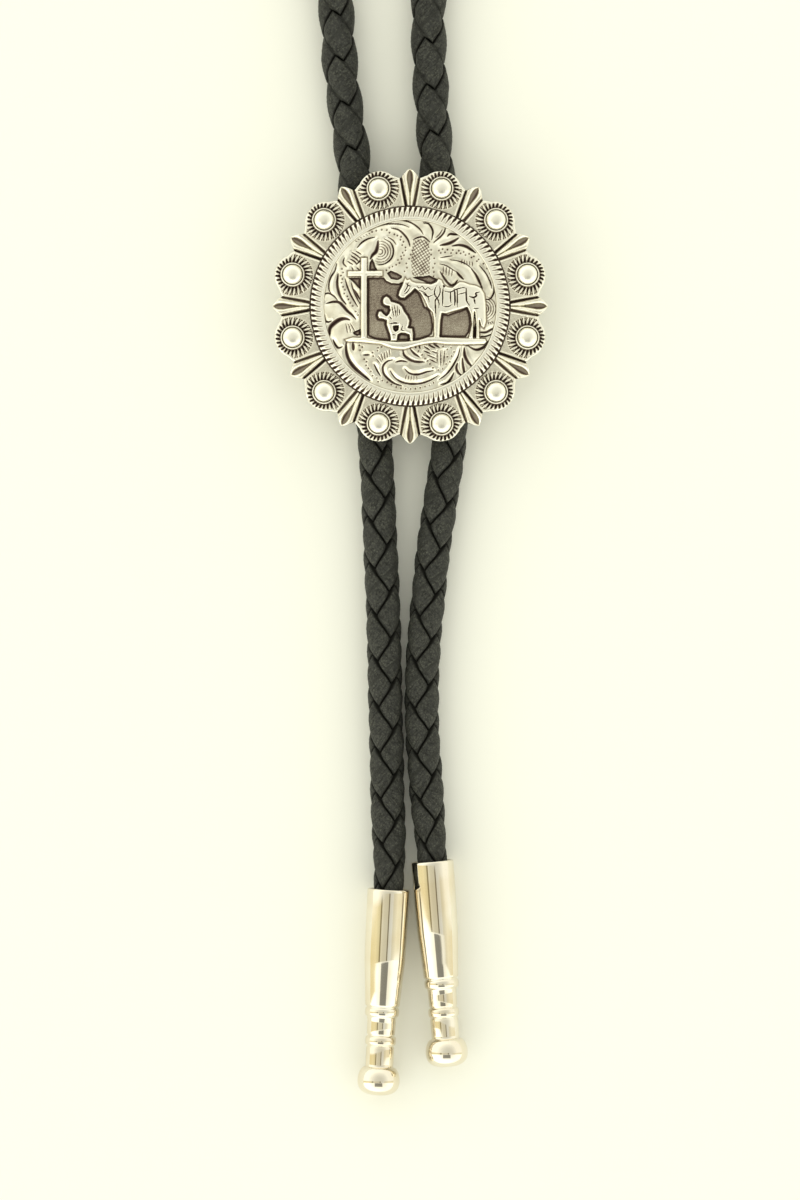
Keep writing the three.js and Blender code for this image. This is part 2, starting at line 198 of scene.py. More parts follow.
def braid_height(x, y, wobble):
    """Distance from the cord's middle to its skin, at crossing coordinates x and y.
    Strands of one turn lie along x = 0, 2, 4..., and those of the other along y = 0, 2, 4..."""
    near_x, near_y = np.round(x / 2), np.round(y / 2)
    dx, dy = x - 2 * near_x, y - 2 * near_y
    over_x = np.where(near_x % 2 == 0, 1, -1)
    over_y = np.where(near_y % 2 == 0, 1, -1)

    def crown(d):
        e = np.clip(np.abs(d) / STRAND_HALF, 0, 1)
        return STRAND_CROWN * (1 - e**2) - 0.16 * e**8

    first = STRAND_MIDDLE + STRAND_WAVE * np.cos(np.pi * y / 2) * over_x + crown(dx)
    second = STRAND_MIDDLE - STRAND_WAVE * np.cos(np.pi * x / 2) * over_y + crown(dy)
    first = np.where(np.abs(dx) <= STRAND_HALF, first + wobble[0], CORE)
    second = np.where(np.abs(dy) <= STRAND_HALF, second + wobble[1], CORE)
    on_first = first > second
    height = np.maximum(np.maximum(first, second), CORE)
    across = np.where(on_first, dx, dy)
    along = np.where(on_first, y, x)
    return height, across, along, on_first


LINES = np.array([0, 0.2, 0.4, 0.6, 0.76, 0.87, 0.93, 0.95, 1.0, 1.05, 1.07, 1.13, 1.24, 1.4, 1.6, 1.8])


def saw(t, sharp=0.07):
    """Falls from 1 to -1 over a period of 4, and jumps back."""
    t = (t + sharp) % 4 - sharp
    return np.where(t < sharp, t / sharp, 1 - 2 * (t - sharp) / (4 - 2 * sharp))


def braid(name, route, pitch_map, roll_map, seed, ends_narrow=0.0, other_seams=1.0):
    """A cord of four strands round its route, as one closed skin.
    pitch_map gives distances in millimetres on the route against the number of pitches,
    and roll_map the turn in degrees round the route against that distance.
    other_seams is how open the seams of the strands of the second turn are, and how dark their painted shade
    is."""
    path = curve_points(route)
    lengths = np.concatenate([[0], np.cumsum(np.linalg.norm(np.diff(path, axis=0), axis=1))])
    total = lengths[-1]
    known_s, known_n = zip(*pitch_map)
    halves = round(2 * np.interp(total, known_s, known_n))
    rows = 16 * halves
    known_s = np.interp(np.arange(halves + 1) / 2, known_n, known_s)
    known_s[0], known_s[-1] = 0, total
    p = np.arange(32)[None, :]
    m = np.arange(rows + 1)[:, None]
    q = p + m
    x = LINES[p % 16] + 2 * (p // 16) + 0 * m
    y = LINES[q % 16] + 2 * (q // 16)
    ends = ramp01(m, 0, 14) * ramp01(rows - m, 0, 14)
    odd_x, odd_y = 2 * np.floor(x / 2) + 1, 2 * np.floor(y / 2) + 1
    shown_x = x + OVERLAP * ends * np.sin(np.pi * x / 2) ** 2 * saw(y + odd_x)
    shown_y = y + OVERLAP * ends * np.sin(np.pi * y / 2) ** 2 * saw(x + odd_y - 2)
    angle = (shown_x + shown_y) * 45
    s = np.interp((shown_y - shown_x) / 2, np.arange(halves + 1), known_s)
    rng = np.random.default_rng(seed)
    slow = rng.normal(0, 1, (2, 8, halves + 12))

    def drift(k, strand, place):
        t = place / 1.5
        i = np.floor(t).astype(int)
        f = ramp01(t - i, 0, 1)
        n = slow.shape[2]
        return slow[k, strand % 8, i % n] * (1 - f) + slow[k, strand % 8, (i + 1) % n] * f

    wobble = [
        0.035 * drift(0, np.round(x / 2).astype(int), y),
        0.035 * drift(1, np.round(y / 2).astype(int), x + 40),
    ]
    height, across, along, on_first = braid_height(x, y, wobble)
    off_x = np.abs(x - 2 * np.floor(x / 2) - 1)
    off_y = np.abs(y - 2 * np.floor(y / 2) - 1)
    open_y = other_seams + (1 - other_seams) * (1 - ramp01(off_x, 0.05, 0.3))
    groove = np.maximum(1 - ramp01(off_x, 0.02, 0.085), open_y * (1 - ramp01(off_y, 0.02, 0.085)))
    height = height - SEAM_DEPTH * groove
    narrow = 1 - ends_narrow * ramp01(s, total - 22, total - 11)
    height = height * narrow
    at = np.stack([np.interp(s, lengths, path[:, k]) for k in range(3)], -1)
    step = 0.4
    ahead = np.stack([np.interp(s + step, lengths, path[:, k]) for k in range(3)], -1)
    behind = np.stack([np.interp(s - step, lengths, path[:, k]) for k in range(3)], -1)
    along_cord = ahead - behind
    along_cord /= np.linalg.norm(along_cord, axis=-1, keepdims=True)
    up = np.array([0, 0, 1.0]) - along_cord * along_cord[..., 2:3]
    up /= np.linalg.norm(up, axis=-1, keepdims=True)
    side = np.cross(along_cord, up)
    turn = np.radians(angle + np.interp(s, *zip(*roll_map)))[..., None]
    points = at + height[..., None] * (np.cos(turn) * up + np.sin(turn) * side * FLATTENED)
    number = lambda i, j: j * 32 + i % 32
    i, j = np.meshgrid(np.arange(32), np.arange(1, rows), indexing="xy")
    quads = np.stack([number(i, j), number(i + 1, j - 1), number(i + 1, j), number(i, j + 1)], -1)
    i = np.arange(32)
    first_end = np.stack([number(i, 0), number(i + 1, 0), number(i, 1)], -1)
    last_end = np.stack([number(i, rows), number(i + 1, rows - 1), number(i + 1, rows)], -1)
    flat = points.reshape(-1, 3)
    middles = [len(flat), len(flat) + 1]
    caps = np.stack([np.full(32, middles[0]), number(i + 1, 0), number(i, 0)], -1)
    caps_far = np.stack([np.full(32, middles[1]), number(i, rows), number(i + 1, rows)], -1)
    flat = np.vstack([flat, path[0], path[-1]])
    obj = mesh_piece(name, flat * MM, [quads.reshape(-1, 4), first_end, last_end, caps, caps_far])
    # Painted shade in the seams between strands: a mask that darkens the leather's colour along each seam
    line = np.maximum(1 - ramp01(off_x, 0.03, 0.10), open_y * (1 - ramp01(off_y, 0.03, 0.10)))
    attribute(obj, "seam_shade", np.append(line.ravel(), [1, 1]))
    strand_u = np.append((along * STRAND_STEP + np.where(on_first, 0, 37.3)).ravel(), [0, 0])
    strand_v = np.append((across * STRAND_STEP + 9 * np.round(np.where(on_first, x, y) / 2)).ravel(), [0, 0])
    attribute(obj, "strand_u", strand_u)
    attribute(obj, "strand_v", strand_v)
    # Painted shade where the strands dip under their neighbours: a mask that darkens the low places
    low = np.clip((STRAND_MIDDLE + 0.1 - height / narrow) / 0.5, 0, 1)
    attribute(obj, "dip_shade", np.append(low.ravel(), [1, 1]))
    return obj, path, total


def cord_piece(name, node, route, pitch_map, roll_map, seed, ends_narrow=0.0, other_seams=1.0):
    obj, path, total = braid(name, route, pitch_map, roll_map, seed, ends_narrow, other_seams)
    smooth(obj, 50)
    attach(obj, "root")
    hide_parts(node)
    return obj, path, total


neck, _, _ = cord_piece(
    "neck_braid", "neck_loop", NECK_ROUTE, [(0, 0), (7.6, 1), (606.5, 80), (653, 86), (700, 92)],
    [(0, 0), (700, 0)], 5, other_seams=0.35,
)
tails = {}
for side, route, pitch_map, roll, seed in (
    ("left", TAIL_ROUTE_LEFT, [(0, 0), (31.3, 4), (54.6, 7), (200, 26)], 45, 6),
    ("right", TAIL_ROUTE_RIGHT, [(0, 0), (32.1, 4), (47.4, 6), (200, 26)], 45, 7),
):
    mouth, lean = TIPS["tip_" + side]
    whole = tail_route(route, mouth, lean)
    obj, path, total = cord_piece(
        "tail_braid_" + side, "tail_" + side, whole, pitch_map, [(0, roll), (200, roll)], seed, 0.13
    )
    tails[side] = (obj, path, total)

# Floor
deselect()
bpy.ops.mesh.primitive_plane_add(size=6, location=(0, 0, -0.0001))
floor = bpy.context.object
floor.name = "floor"
bpy.ops.object.transform_apply(location=True, rotation=True, scale=True)
floor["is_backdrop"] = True


# Tips: turned brass cups with grooves and a ball, plated and polished
TIP_PROFILE = [
    (11.0, 0.0), (11.0, 3.0), (10.8, 3.1), (0.25, 3.1), (0.06, 3.18), (0.0, 3.3), (0.02, 3.42), (0.12, 3.5),
    (0.3, 3.54), (0.6, 3.55), (3.0, 3.54), (6.0, 3.51), (9.0, 3.47), (11.6, 3.43), (11.9, 3.42),
    (12.1, 3.41), (12.4, 3.39), (14.5, 3.24), (17.0, 3.07), (19.2, 2.925), (19.42, 2.90), (19.55, 2.80),
    (19.65, 2.68), (19.78, 2.65), (19.9, 2.74), (20.02, 2.83), (20.2, 2.86), (20.55, 2.87), (20.9, 2.85),
    (21.1, 2.80), (21.25, 2.66), (21.38, 2.52), (21.55, 2.48), (21.7, 2.46), (21.82, 2.42), (22.3, 2.41),
    (23.2, 2.40), (24.1, 2.38), (24.3, 2.34), (24.42, 2.25), (24.52, 2.24), (24.62, 2.36), (24.75, 2.50),
    (24.95, 2.56), (25.35, 2.58), (25.75, 2.56), (25.95, 2.50), (26.08, 2.36), (26.18, 2.26),
    (26.3, 2.26), (26.45, 2.34), (26.7, 2.37), (28.0, 2.36), (29.3, 2.34), (29.62, 2.33), (29.72, 2.38),
    (29.78, 2.55), (29.9, 2.78), (30.2, 3.03), (30.6, 3.26), (31.1, 3.43), (31.6, 3.52), (32.1, 3.55),
    (32.6, 3.51), (33.1, 3.38), (33.5, 3.16), (33.85, 2.84), (34.12, 2.44), (34.33, 1.92), (34.45, 1.3),
    (34.49, 0.7), (34.5, 0.0),
]


def turned_piece(name, profile, steps=80):
    """A turned piece on the Y axis, its profile (distance towards -Y, radius) spun round."""
    deselect()
    bpy.ops.mesh.primitive_plane_add(size=MM, location=(0, 0, 0))
    obj = bpy.context.object
    obj.name = name
    bpy.ops.object.mode_set(mode="EDIT")
    bpy.ops.mesh.select_all(action="SELECT")
    bpy.ops.mesh.merge(type="CENTER")
    first = profile[0]
    bpy.ops.transform.translate(value=(first[1] * MM, -first[0] * MM, 0))
    for (a, ra), (b, rb) in zip(profile[:-1], profile[1:]):
        bpy.ops.mesh.extrude_region_move(
            TRANSFORM_OT_translate={"value": ((rb - ra) * MM, (a - b) * MM, 0)}
        )
    bpy.ops.mesh.select_all(action="SELECT")
    bpy.ops.mesh.spin(steps=steps, angle=2 * math.pi, center=(0, 0, 0), axis=(0, 1, 0))
    bpy.ops.mesh.select_all(action="SELECT")
    bpy.ops.mesh.remove_doubles(threshold=1e-6)
    bpy.ops.mesh.normals_make_consistent(inside=False)
    bpy.ops.object.mode_set(mode="OBJECT")
    return obj


def place(obj, location, turn_z):
    """Puts the piece's place and turn in its mesh."""
    activate(obj)
    obj.location = location
    obj.rotation_euler = (0, 0, turn_z)
    bpy.ops.object.transform_apply(location=True, rotation=True, scale=True)
    deselect()


tip_pieces = {}
for node, (mouth, lean) in TIPS.items():
    tip = turned_piece("turned_" + node, TIP_PROFILE)
    smooth(tip, 60)
    place(tip, (mouth[0] * MM, mouth[1] * MM, TIP_AXIS_HEIGHT * MM), lean)
    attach(tip, "root")
    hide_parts(node)
    tip_pieces[node] = tip


# Concho: heights in millimetres from the floor
FLANGE_TOP = 8.3
CONCHO_BACK = 6.9
STUD_CIRCLE = 20.2
RIM_INNER = 16.35
BORDER_OUTER = 16.62
BORDER_INNER = 14.26
PETALS = 117
LOBE_CIRCLE = 19.62
LOBE_RADIUS = 3.55
DOME_RADIUS = 14.3

# Engraving and panels: drawn about a point of their own, this far up the dome from its middle
ENGRAVING_UP = 0.55

# Width of each cut and the points that it runs through
CUTS = [
    (0.25, [(-7, 12.1), (-5.5, 12.75), (-4, 13.1), (-2.2, 13.1), (-1, 12.9), (-0.1, 12.5)]),
    (0.3, [(-1.4, 13.8), (0, 13.4), (1.1, 12.7), (1.8, 12), (2.2, 11.3)]),
    (0.36, [(-3.1, 12.4), (-1.9, 12.1), (-0.9, 11.2), (-0.3, 10.3), (0, 9.3)]),
    (0.32, [(-8.8, 9.1), (-8, 10), (-7, 10.6), (-5.8, 10.9)]),
    (0.62, [(-5.3, 10.3), (-5.4, 9.3), (-5.7, 8.4), (-6.2, 7.9), (-6.6, 7.2)]),
    (0.3, [(-4.3, 10.6), (-3.2, 9.9), (-2.75, 8.6), (-3.1, 7.3), (-4.2, 6.4), (-5.4, 6.2)]),
    (0.22, [(-3.7, 10.9), (-2.8, 10.3), (-2.3, 9.6)]),
    (0.24, [(-9, 8.6), (-8.1, 8)]),
    (0.26, [(-9.7, 8.4), (-8.9, 7.9), (-8.2, 7.3)]),
    (0.26, [(-9.8, 7.8), (-9, 7.3), (-8.4, 6.7)]),
    (0.26, [(-10, 7.3), (-9.2, 6.8), (-8.8, 6.3)]),
    (0.24, [(-10.4, 6.9), (-9.5, 6.3)]),
    (0.3, [(-8.9, 6.3), (-8.3, 6.9), (-7.8, 7.4), (-7.1, 7.5)]),
    (0.24, [(-9.7, 5.9), (-9.4, 5.3)]),
    (0.24, [(-8.9, 5.8), (-8.4, 5.4)]),
    (0.24, [(-10.9, 7.5), (-11.1, 6.6), (-10.5, 5.9)]),
    (0.3, [(-12.2, 6.5), (-12.5, 5.3), (-13.2, 4.2), (-13.5, 3), (-13.4, 2), (-13.1, 1.6)]),
    (0.48, [(-11.95, 4.8), (-12.1, 3.3), (-11.9, 1.9), (-11.4, 0.7), (-10.6, -0.3)]),
    (0.3, [(-10.8, 4), (-10.4, 2.6), (-9.9, 1.4), (-9.3, 0.3), (-8.7, -0.7)]),
    (0.28, [(-9.8, 3.4), (-9.4, 2), (-8.9, 0.9), (-8.3, -0.2)]),
    (0.34, [(-9.4, 2.3), (-8.7, 1.2), (-8.3, 0.4)]),
    (0.3, [(-14.6, 1.3), (-13.6, 1.6), (-12.8, 1.2), (-12, 0.4)]),
    (0.34, [(2.2, 13.3), (3, 13.2), (3.5, 12.6), (3.8, 11.8), (3.7, 11), (3.6, 10.4)]),
    (0.34, [(5.9, 12.6), (5.7, 11.8), (5.1, 11), (4.3, 10.3), (3.9, 9.9)]),
    (0.2, [(5.4, 12.2), (4.9, 11.4), (4.2, 10.7)]),
    (0.32, [(0.5, 10.4), (1.3, 10.8), (2.2, 10.9), (2.9, 10.4), (3.3, 10)]),
    (0.4, [(6.2, 11), (6.6, 11.4), (7.3, 11.4), (7.9, 11.3)]),
    (0.56, [(5, 9.5), (6.3, 9.8), (7.2, 10.2), (8.1, 10.8)]),
    (0.5, [(7, 9.4), (8.2, 9.6), (9.4, 9.3), (10.2, 8.8), (10.9, 8.3)]),
    (0.24, [(5, 7.4), (6, 7.6), (7, 7.75)]),
    (0.22, [(6.5, 7.1), (8, 6.9), (9.3, 6.4), (10.4, 5.5)]),
    (0.44, [(10.2, 5.6), (10.9, 4.7), (11.5, 3.5), (12, 2.3)]),
    (0.22, [(4.9, 6.4), (6, 6.1), (7, 5.5), (7.8, 5)]),
    (0.44, [(7.7, 5.1), (8.2, 4.5), (8.9, 3.8)]),
    (0.44, [(5, 5.1), (5.6, 4.1), (6.2, 3.3), (6.8, 2.8), (7.4, 3), (7.9, 3.7)]),
    (0.26, [(11.5, 6.2), (12.6, 4.9), (13.3, 3.5), (13.6, 2.4)]),
    (0.3, [(14, 3), (13.9, 1.6), (13.2, 0.6), (12.3, 0.6)]),
    (0.52, [(-13.9, -0.1), (-12.7, 0.15), (-11.8, 0.05), (-11.1, -0.6), (-10.4, -1.4), (-9.6, -2.1),
        (-9, -2.8)]),
    (0.34, [(-14.3, -2.2), (-14.1, -3), (-13.6, -3.2), (-13, -3)]),
    (0.74, [(-13.4, -5.4), (-13.3, -4.2), (-12.6, -3.4), (-11.6, -2.8), (-10.6, -2.7), (-10, -2.9)]),
    (0.36, [(-12.8, -6.1), (-12.4, -7), (-11.9, -7.5), (-11.2, -7.3)]),
    (0.6, [(-10.6, -6.4), (-10.6, -8), (-10.2, -9.4), (-9.3, -10.7), (-8.2, -11.7), (-6.7, -12.9)]),
    (0.3, [(-7.8, -8.7), (-6.7, -8.7)]),
    (0.3, [(-6, -10.2), (-5.4, -11.4), (-4.9, -12.2)]),
    (0.42, [(-2.8, -9.5), (-3.8, -9.8), (-4.5, -10.6), (-4.4, -11.7), (-3.7, -12.6), (-2.6, -13.4),
        (-1.4, -13.8)]),
    (0.36, [(-3.3, -11.3), (-2.9, -12), (-2.1, -12.8), (-1, -13.3), (0.3, -13.5), (1.8, -13.4),
        (3.3, -12.9), (4.7, -12.1)]),
    (0.36, [(-2.4, -9.9), (-1.4, -9.7), (-0.4, -9.9)]),
    (0.5, [(-1.2, -7.8), (-1, -8.7), (-0.2, -9.4), (0.8, -9.8), (2.4, -9.9)]),
    (0.4, [(0, -7.7), (0.7, -8.5), (1.6, -9.1)]),
    (0.36, [(-0.9, -11), (-0.3, -11.6), (0.4, -11.9), (1.5, -11.9), (2.8, -11.5), (3.9, -11.3)]),
    (0.32, [(8.3, -7.5), (8, -8.8), (7.4, -10), (6.7, -11.1), (5.9, -12), (4.8, -12.8)]),
    (0.46, [(7.9, -10), (7.7, -10.8), (8, -11.6), (8.6, -12.1)]),
    (0.46, [(8.7, -9.2), (8.8, -10.4), (9, -11.4), (9.1, -12.1)]),
    (0.56, [(9, -7.5), (9.1, -8.8), (9.6, -9.8), (10.3, -10.6)]),
    (0.48, [(9.5, -7), (10, -7.4), (11, -7.8), (12.2, -7.4), (13.3, -6.4), (14.1, -5.2), (14.7, -3.8)]),
    (0.26, [(12.6, -7.8), (12.4, -8.8), (11.8, -9.4), (11, -9.7)]),
    (0.4, [(11.5, -4.9), (12.6, -4.9), (13.6, -4.4), (14.2, -4.2)]),
    (0.28, [(11.4, -5.7), (12.5, -5.6), (13.7, -5.2)]),
    (0.42, [(7.3, -11.6), (6.8, -12.6), (6.2, -13.3), (5.1, -13.6)]),
    (0.36, [(9.2, -7.1), (10.1, -6.9)]),
    (0.34, [(3, -7), (4.2, -7.6)]),
    (0.34, [(3.9, -6.9), (4.9, -7.5)]),
    (0.28, [(2.3, -7.3), (3.3, -7.9)]),
    (0.24, [(2.2, -8), (3.4, -8.5)]),
    (0.24, [(3.6, -8.1), (4.6, -8.5)]),
    (0.22, [(2.8, -8.7), (4.3, -9.3)]),
    (0.22, [(3.2, -9.4), (4.4, -10)]),
    (0.2, [(4.5, -7.9), (4.5, -10.2)]),
    (0.2, [(5.1, -7.9), (5.1, -10.6)]),
    (0.2, [(5.7, -7.9), (5.6, -10.4)]),
    (0.3, [(0.8, -7.2), (1, -7.6)]),
    (0.3, [(1.5, -7.2), (1.7, -7.7)]),
    (0.55, [(-9.5, -6.7), (-9.4, -7.9)]),
]

# Rows of arcs: middle, radii, from and to in degrees, width
ARCS = [
    ((-4.95, 8.4), [0.42, 0.86, 1.3, 1.74], -115, 95, 0.2),
    ((12.15, -1.0), [0.5, 0.9, 1.3, 1.7, 2.1], -80, 75, 0.18),
]

# Rows of ticks: line, length of a tick, spacing, slant in degrees, width
TICKS = [
    ([(-10.7, -4.3), (-9.9, -4.3), (-9.1, -4.1)], 1.6, 0.5, 14, 0.24),
    ([(-5.4, -9.9), (-4.9, -9.2), (-4.1, -8.7), (-3.2, -8.2)], 1.15, 0.48, -20, 0.25),
    ([(-0.9, -12.3), (0.2, -12.5), (1.5, -12.5)], 0.7, 0.46, 0, 0.22),
    ([(8.4, 6.9), (9.3, 6.6), (10.5, 6.4)], 0.75, 0.45, 15, 0.22),
    ([(5.3, 5.3), (6.3, 5.1), (7.4, 4.8)], 1.35, 0.5, 8, 0.24),
    ([(12.5, -3.1), (13.2, -3.4), (13.9, -3.2)], 0.5, 0.38, 20, 0.2),
    ([(-9.1, 10.1), (-8.2, 10.7), (-7.2, 11.25), (-6.4, 11.6)], 0.35, 0.5, 35, 0.2),
]

# Punched dots, in rows
DOTS = [
    [(-6.3, 11.75), (-5.6, 11.95), (-4.7, 12.1), (-3.85, 12.05), (-3.4, 11.6), (-2.6, 11.3),
        (-2.1, 11.1), (-1.5, 10.9), (-1.6, 10.4), (-1.1, 10.05), (-1.3, 9.5), (-0.75, 9.1),
        (-0.75, 8.6), (-1.2, 8.2), (-1, 7.8), (-1.5, 7.6), (-1.4, 7.2), (-2, 7), (-1.75, 6.5),
        (-2.3, 6.2), (-2.9, 5.9), (-3.4, 5.7), (-3.9, 5.3)],
    [(-11.3, 5.6), (-11.1, 5), (-11.45, 4.5), (-11.2, 3.9), (-11.35, 3.3), (-11.1, 2.6), (-10.8, 2.1),
        (-10.9, 1.5), (-10.4, 1), (-10.2, 0.5), (-9.9, -0.1), (-9.5, -0.6), (-9, -1.5), (-8.6, -2.1)],
    [(0.4, 8.6), (0.1, 7.9), (-0.15, 7.2), (-0.6, 6.4), (-0.5, 5.7), (-0.9, 5.1)],
    [(4.8, 8.6), (5.4, 8.85), (6.2, 8.75), (7.1, 8.7), (8.1, 8.6), (8.9, 8.4), (9.8, 8.1), (10.6, 7.7),
        (11.4, 7.2), (12.2, 6.5), (12.8, 5.7), (13.3, 4.9)],
    [(5.1, 8.2), (5.8, 8.3), (6.8, 8.2), (7.7, 8.2), (8.4, 8.15), (9.2, 7.9), (10.2, 7.5), (11.1, 6.9)],
    [(3.5, 8.7), (3.5, 7.9), (4, 7.3), (4.1, 6.4), (3.8, 5.7), (3.95, 5), (3.9, 4.3)],
    [(-4.7, -7.4), (-3.9, -7.2), (-5.3, -7.5), (-5.4, -8), (-6.2, -8.3), (-6.1, -8.9), (-7.9, -7.4),
        (-8.4, -7.1), (-8.3, -7.9)],
    [(1.4, -8.1), (2, -8.7), (2.5, -9.3), (2.9, -9.7), (3.3, -10.2), (3.8, -10.8), (4.7, -11.2)],
    [(6.2, -9), (5.5, -7.3), (6.2, -7.8), (6.8, -7.5), (7.3, -8.2), (6.9, -8.9), (6.6, -9.8),
        (6, -10.2), (5.4, -11), (6.4, -11.4)],
    [(3.9, -13.3), (3.2, -13.7), (2.5, -13.9), (1.7, -14.1), (0.9, -14.25), (0.1, -14.3),
        (-0.7, -14.3), (-1.5, -14.2), (-2.3, -14), (-3.1, -13.6), (-3.8, -13.2), (-4.6, -12.9),
        (-5.3, -13.1), (-5.5, -12.5), (-6.2, -12.1)],
    [(-7.6, -9.4), (-7.2, -9.8), (-7.3, -10.4), (-6.9, -10.9), (-6.5, -11.4)],
]

# Cross-hatched patches
HATCHES = [
    [(0.5, 10.3), (2.2, 10.6), (3.2, 9.9), (3.4, 7.5), (3.3, 4.7), (2.2, 4.4), (0.3, 4.3), (0.1, 6.5)],
]

# Raised figures, in millimetres from the concho's middle, and the cuts on them
CROSS_UPRIGHT = [(-8.2, 8), (-7.1, 8), (-7.1, -5.6), (-8.2, -5.6)]
CROSS_ARM = [(-10.4, 5.8), (-4.5, 5.8), (-4.5, 4.85), (-10.4, 4.85)]
GROUND = [
    (-10.9, -5.6), (-9.5, -5.2), (-7.2, -5.3), (-5, -5.75), (-3.5, -5.9), (-2, -6), (0, -5.9),
    (1.5, -5.7), (3, -5.2), (4.4, -5.2), (7, -5.3), (9.5, -5.35), (12.5, -5.4), (12.8, -5.9),
    (12.4, -6.4), (9, -6.5), (6, -6.45), (4, -6.25), (2, -6.5), (0.5, -6.9), (-1, -7.35),
    (-3, -7.15), (-5, -6.4), (-8, -6.1), (-10.5, -6),
]
HORSE = [
    (-0.8, 4.7), (-0.5, 4.2), (0, 4.4), (0.3, 4), (1.1, 3.75), (2.4, 3.7), (3.5, 3.55), (4.3, 3.9),
    (4.7, 4.5), (5.3, 4.2), (5.6, 3.5), (6.2, 3.1), (7, 3), (7.6, 3.5), (8.2, 4), (9, 3.9),
    (9.9, 3.55), (11, 3.4), (11.8, 3), (12.4, 2), (12.6, 0.6), (12.65, -1), (12.7, -2.6),
    (12.3, -3.8), (11.8, -3.4), (11.5, -2.4), (11.55, -4.2), (11.6, -5.5), (10.9, -5.5),
    (10.95, -4), (10.9, -2.6), (10.7, -1), (10.55, -2.8), (10.5, -5.5), (9.6, -5.5), (10, -4.2),
    (10.2, -3), (10, -1.4), (9.5, -0.3), (8.6, -0.6), (7.2, -1), (6, -1.4), (5.3, -1.3),
    (5.1, -2.4), (5, -3.8), (4.95, -5.5), (3.95, -5.5), (3.9, -3.8), (3.9, -2.4), (3.7, -1.2),
    (2.9, -0.4), (2.4, 0.8), (1.7, 2), (0.8, 2.75), (0.2, 2.1), (-0.3, 1.7), (-0.9, 1.15),
    (-1.6, 1.2), (-2, 1.6), (-1.8, 2.4), (-1.3, 3.4),
]
RIDER = [
    (-4.6, 0.7), (-4.4, 1.3), (-3.9, 1.55), (-3.4, 1.25), (-3.1, 0.65), (-2.5, 0.5), (-1.8, 0.25),
    (-1.3, -0.2), (-0.95, -1), (-0.4, -1.7), (-0.05, -2.5), (-0.15, -3.3), (-0.35, -3.7),
    (0.4, -3.8), (0.55, -4.8), (0.5, -5.9), (-0.15, -5.9), (-0.2, -4.9), (-0.8, -4.65),
    (-1.5, -4.6), (-2, -4.9), (-2.15, -5.9), (-3.25, -5.9), (-3.35, -4.9), (-3.7, -3.9),
    (-3.95, -3.1), (-3.9, -2.5), (-4.6, -2.25), (-5.2, -2.2), (-5.45, -1.6), (-5.2, -0.95),
    (-4.75, -0.95), (-4.35, -1.4), (-3.9, -1.75), (-3.5, -1.3), (-3.3, -0.75), (-3.6, -0.15),
    (-4.1, -0.05), (-4.45, 0.2),
]
HOLES = [
    [(-4.3, -0.25), (-3.45, -0.15), (-3.4, -1), (-3.75, -1.55), (-4.3, -1.25)],
    [(-2.75, -3.45), (-1.95, -3.4), (-2, -4.05), (-2.4, -4.3), (-2.7, -4)],
    [(-1.75, -4.95), (-0.15, -4.9), (-0.05, -5.75), (-1.95, -5.8)],
]
FIGURE_CUTS = [
    (0.15, [(1, 2.7), (1.6, 2.3), (2, 2.6), (2.5, 2.05), (3, 2.4), (3.5, 1.95), (3.9, 2.2)]),
    (0.18, [(2.1, 1.5), (2.9, 0.9), (3.9, 1.2)]),
    (0.16, [(1.4, 2), (2.4, 1.5), (3, 0.7), (3.2, -0.2)]),
    (0.22, [(4.4, 2.7), (4.1, 2), (4.1, 1.2), (4.5, 0.6), (4.75, 0), (4.8, -1)]),
    (0.22, [(4.9, 2.6), (5, 1.8), (4.7, 0.9), (4.2, 0.3), (4.2, -0.8), (4.3, -2.4)]),
    (0.22, [(5.5, 2.4), (5.4, 1.5), (5.4, 0), (5.3, -0.7)]),
    (0.34, [(5.5, 2.7), (5.75, 2.5)]),
    (0.2, [(5.6, 1.8), (6.8, 1.7), (7.6, 2.1), (8.8, 2.4), (9.3, 2.3)]),
    (0.2, [(6.7, 1.7), (6.7, 0.5), (6.8, -0.2)]),
    (0.28, [(7.3, 2.2), (7.45, 1), (7.4, -0.6)]),
    (0.22, [(7.8, 2.3), (7.85, 0.5), (7.8, -0.8)]),
    (0.18, [(8, 1.3), (9.2, 1.6)]),
    (0.18, [(5.5, -0.7), (6.2, -0.8), (7, -0.4)]),
    (0.24, [(9.3, 2.3), (9.3, 1.2), (9.4, 0.2), (9.9, -0.6)]),
    (0.28, [(9.8, 1), (10.5, 0.8), (11, 1.1), (10.9, 1.5), (11.5, 1.7)]),
    (0.22, [(10.6, 0.7), (10.8, -0.3)]),
    (0.2, [(10.5, -1), (11.4, -1)]),
    (0.15, [(-3, -0.7), (-2.8, -1.8), (-2.6, -2.6)]),
    (0.15, [(-2.6, -0.6), (-2.4, -1.8), (-2.3, -2.6)]),
    (0.15, [(-2.1, -0.7), (-2.1, -1.9), (-2, -2.4)]),
    (0.15, [(-1.8, -1.1), (-1.7, -2.2)]),
    (0.18, [(-3.4, -2.4), (-3, -2.9)]),
    (0.24, [(-3.4, -3.6), (-2.6, -3.5), (-1.9, -3.5)]),
    (0.18, [(-1.2, -3.9), (-1.4, -4.6), (-0.9, -4.8)]),
    (0.18, [(-0.7, 3.1), (-0.2, 2.7), (0.2, 2.6)]),
    (0.18, [(-0.3, 3.2), (-0.5, 2.4), (-1, 1.6)]),
    (0.18, [(0, 2.4), (-0.5, 1.6), (-1, 1.3)]),
    (0.18, [(-2.9, -5.4), (-2.4, -5.5)]),
]

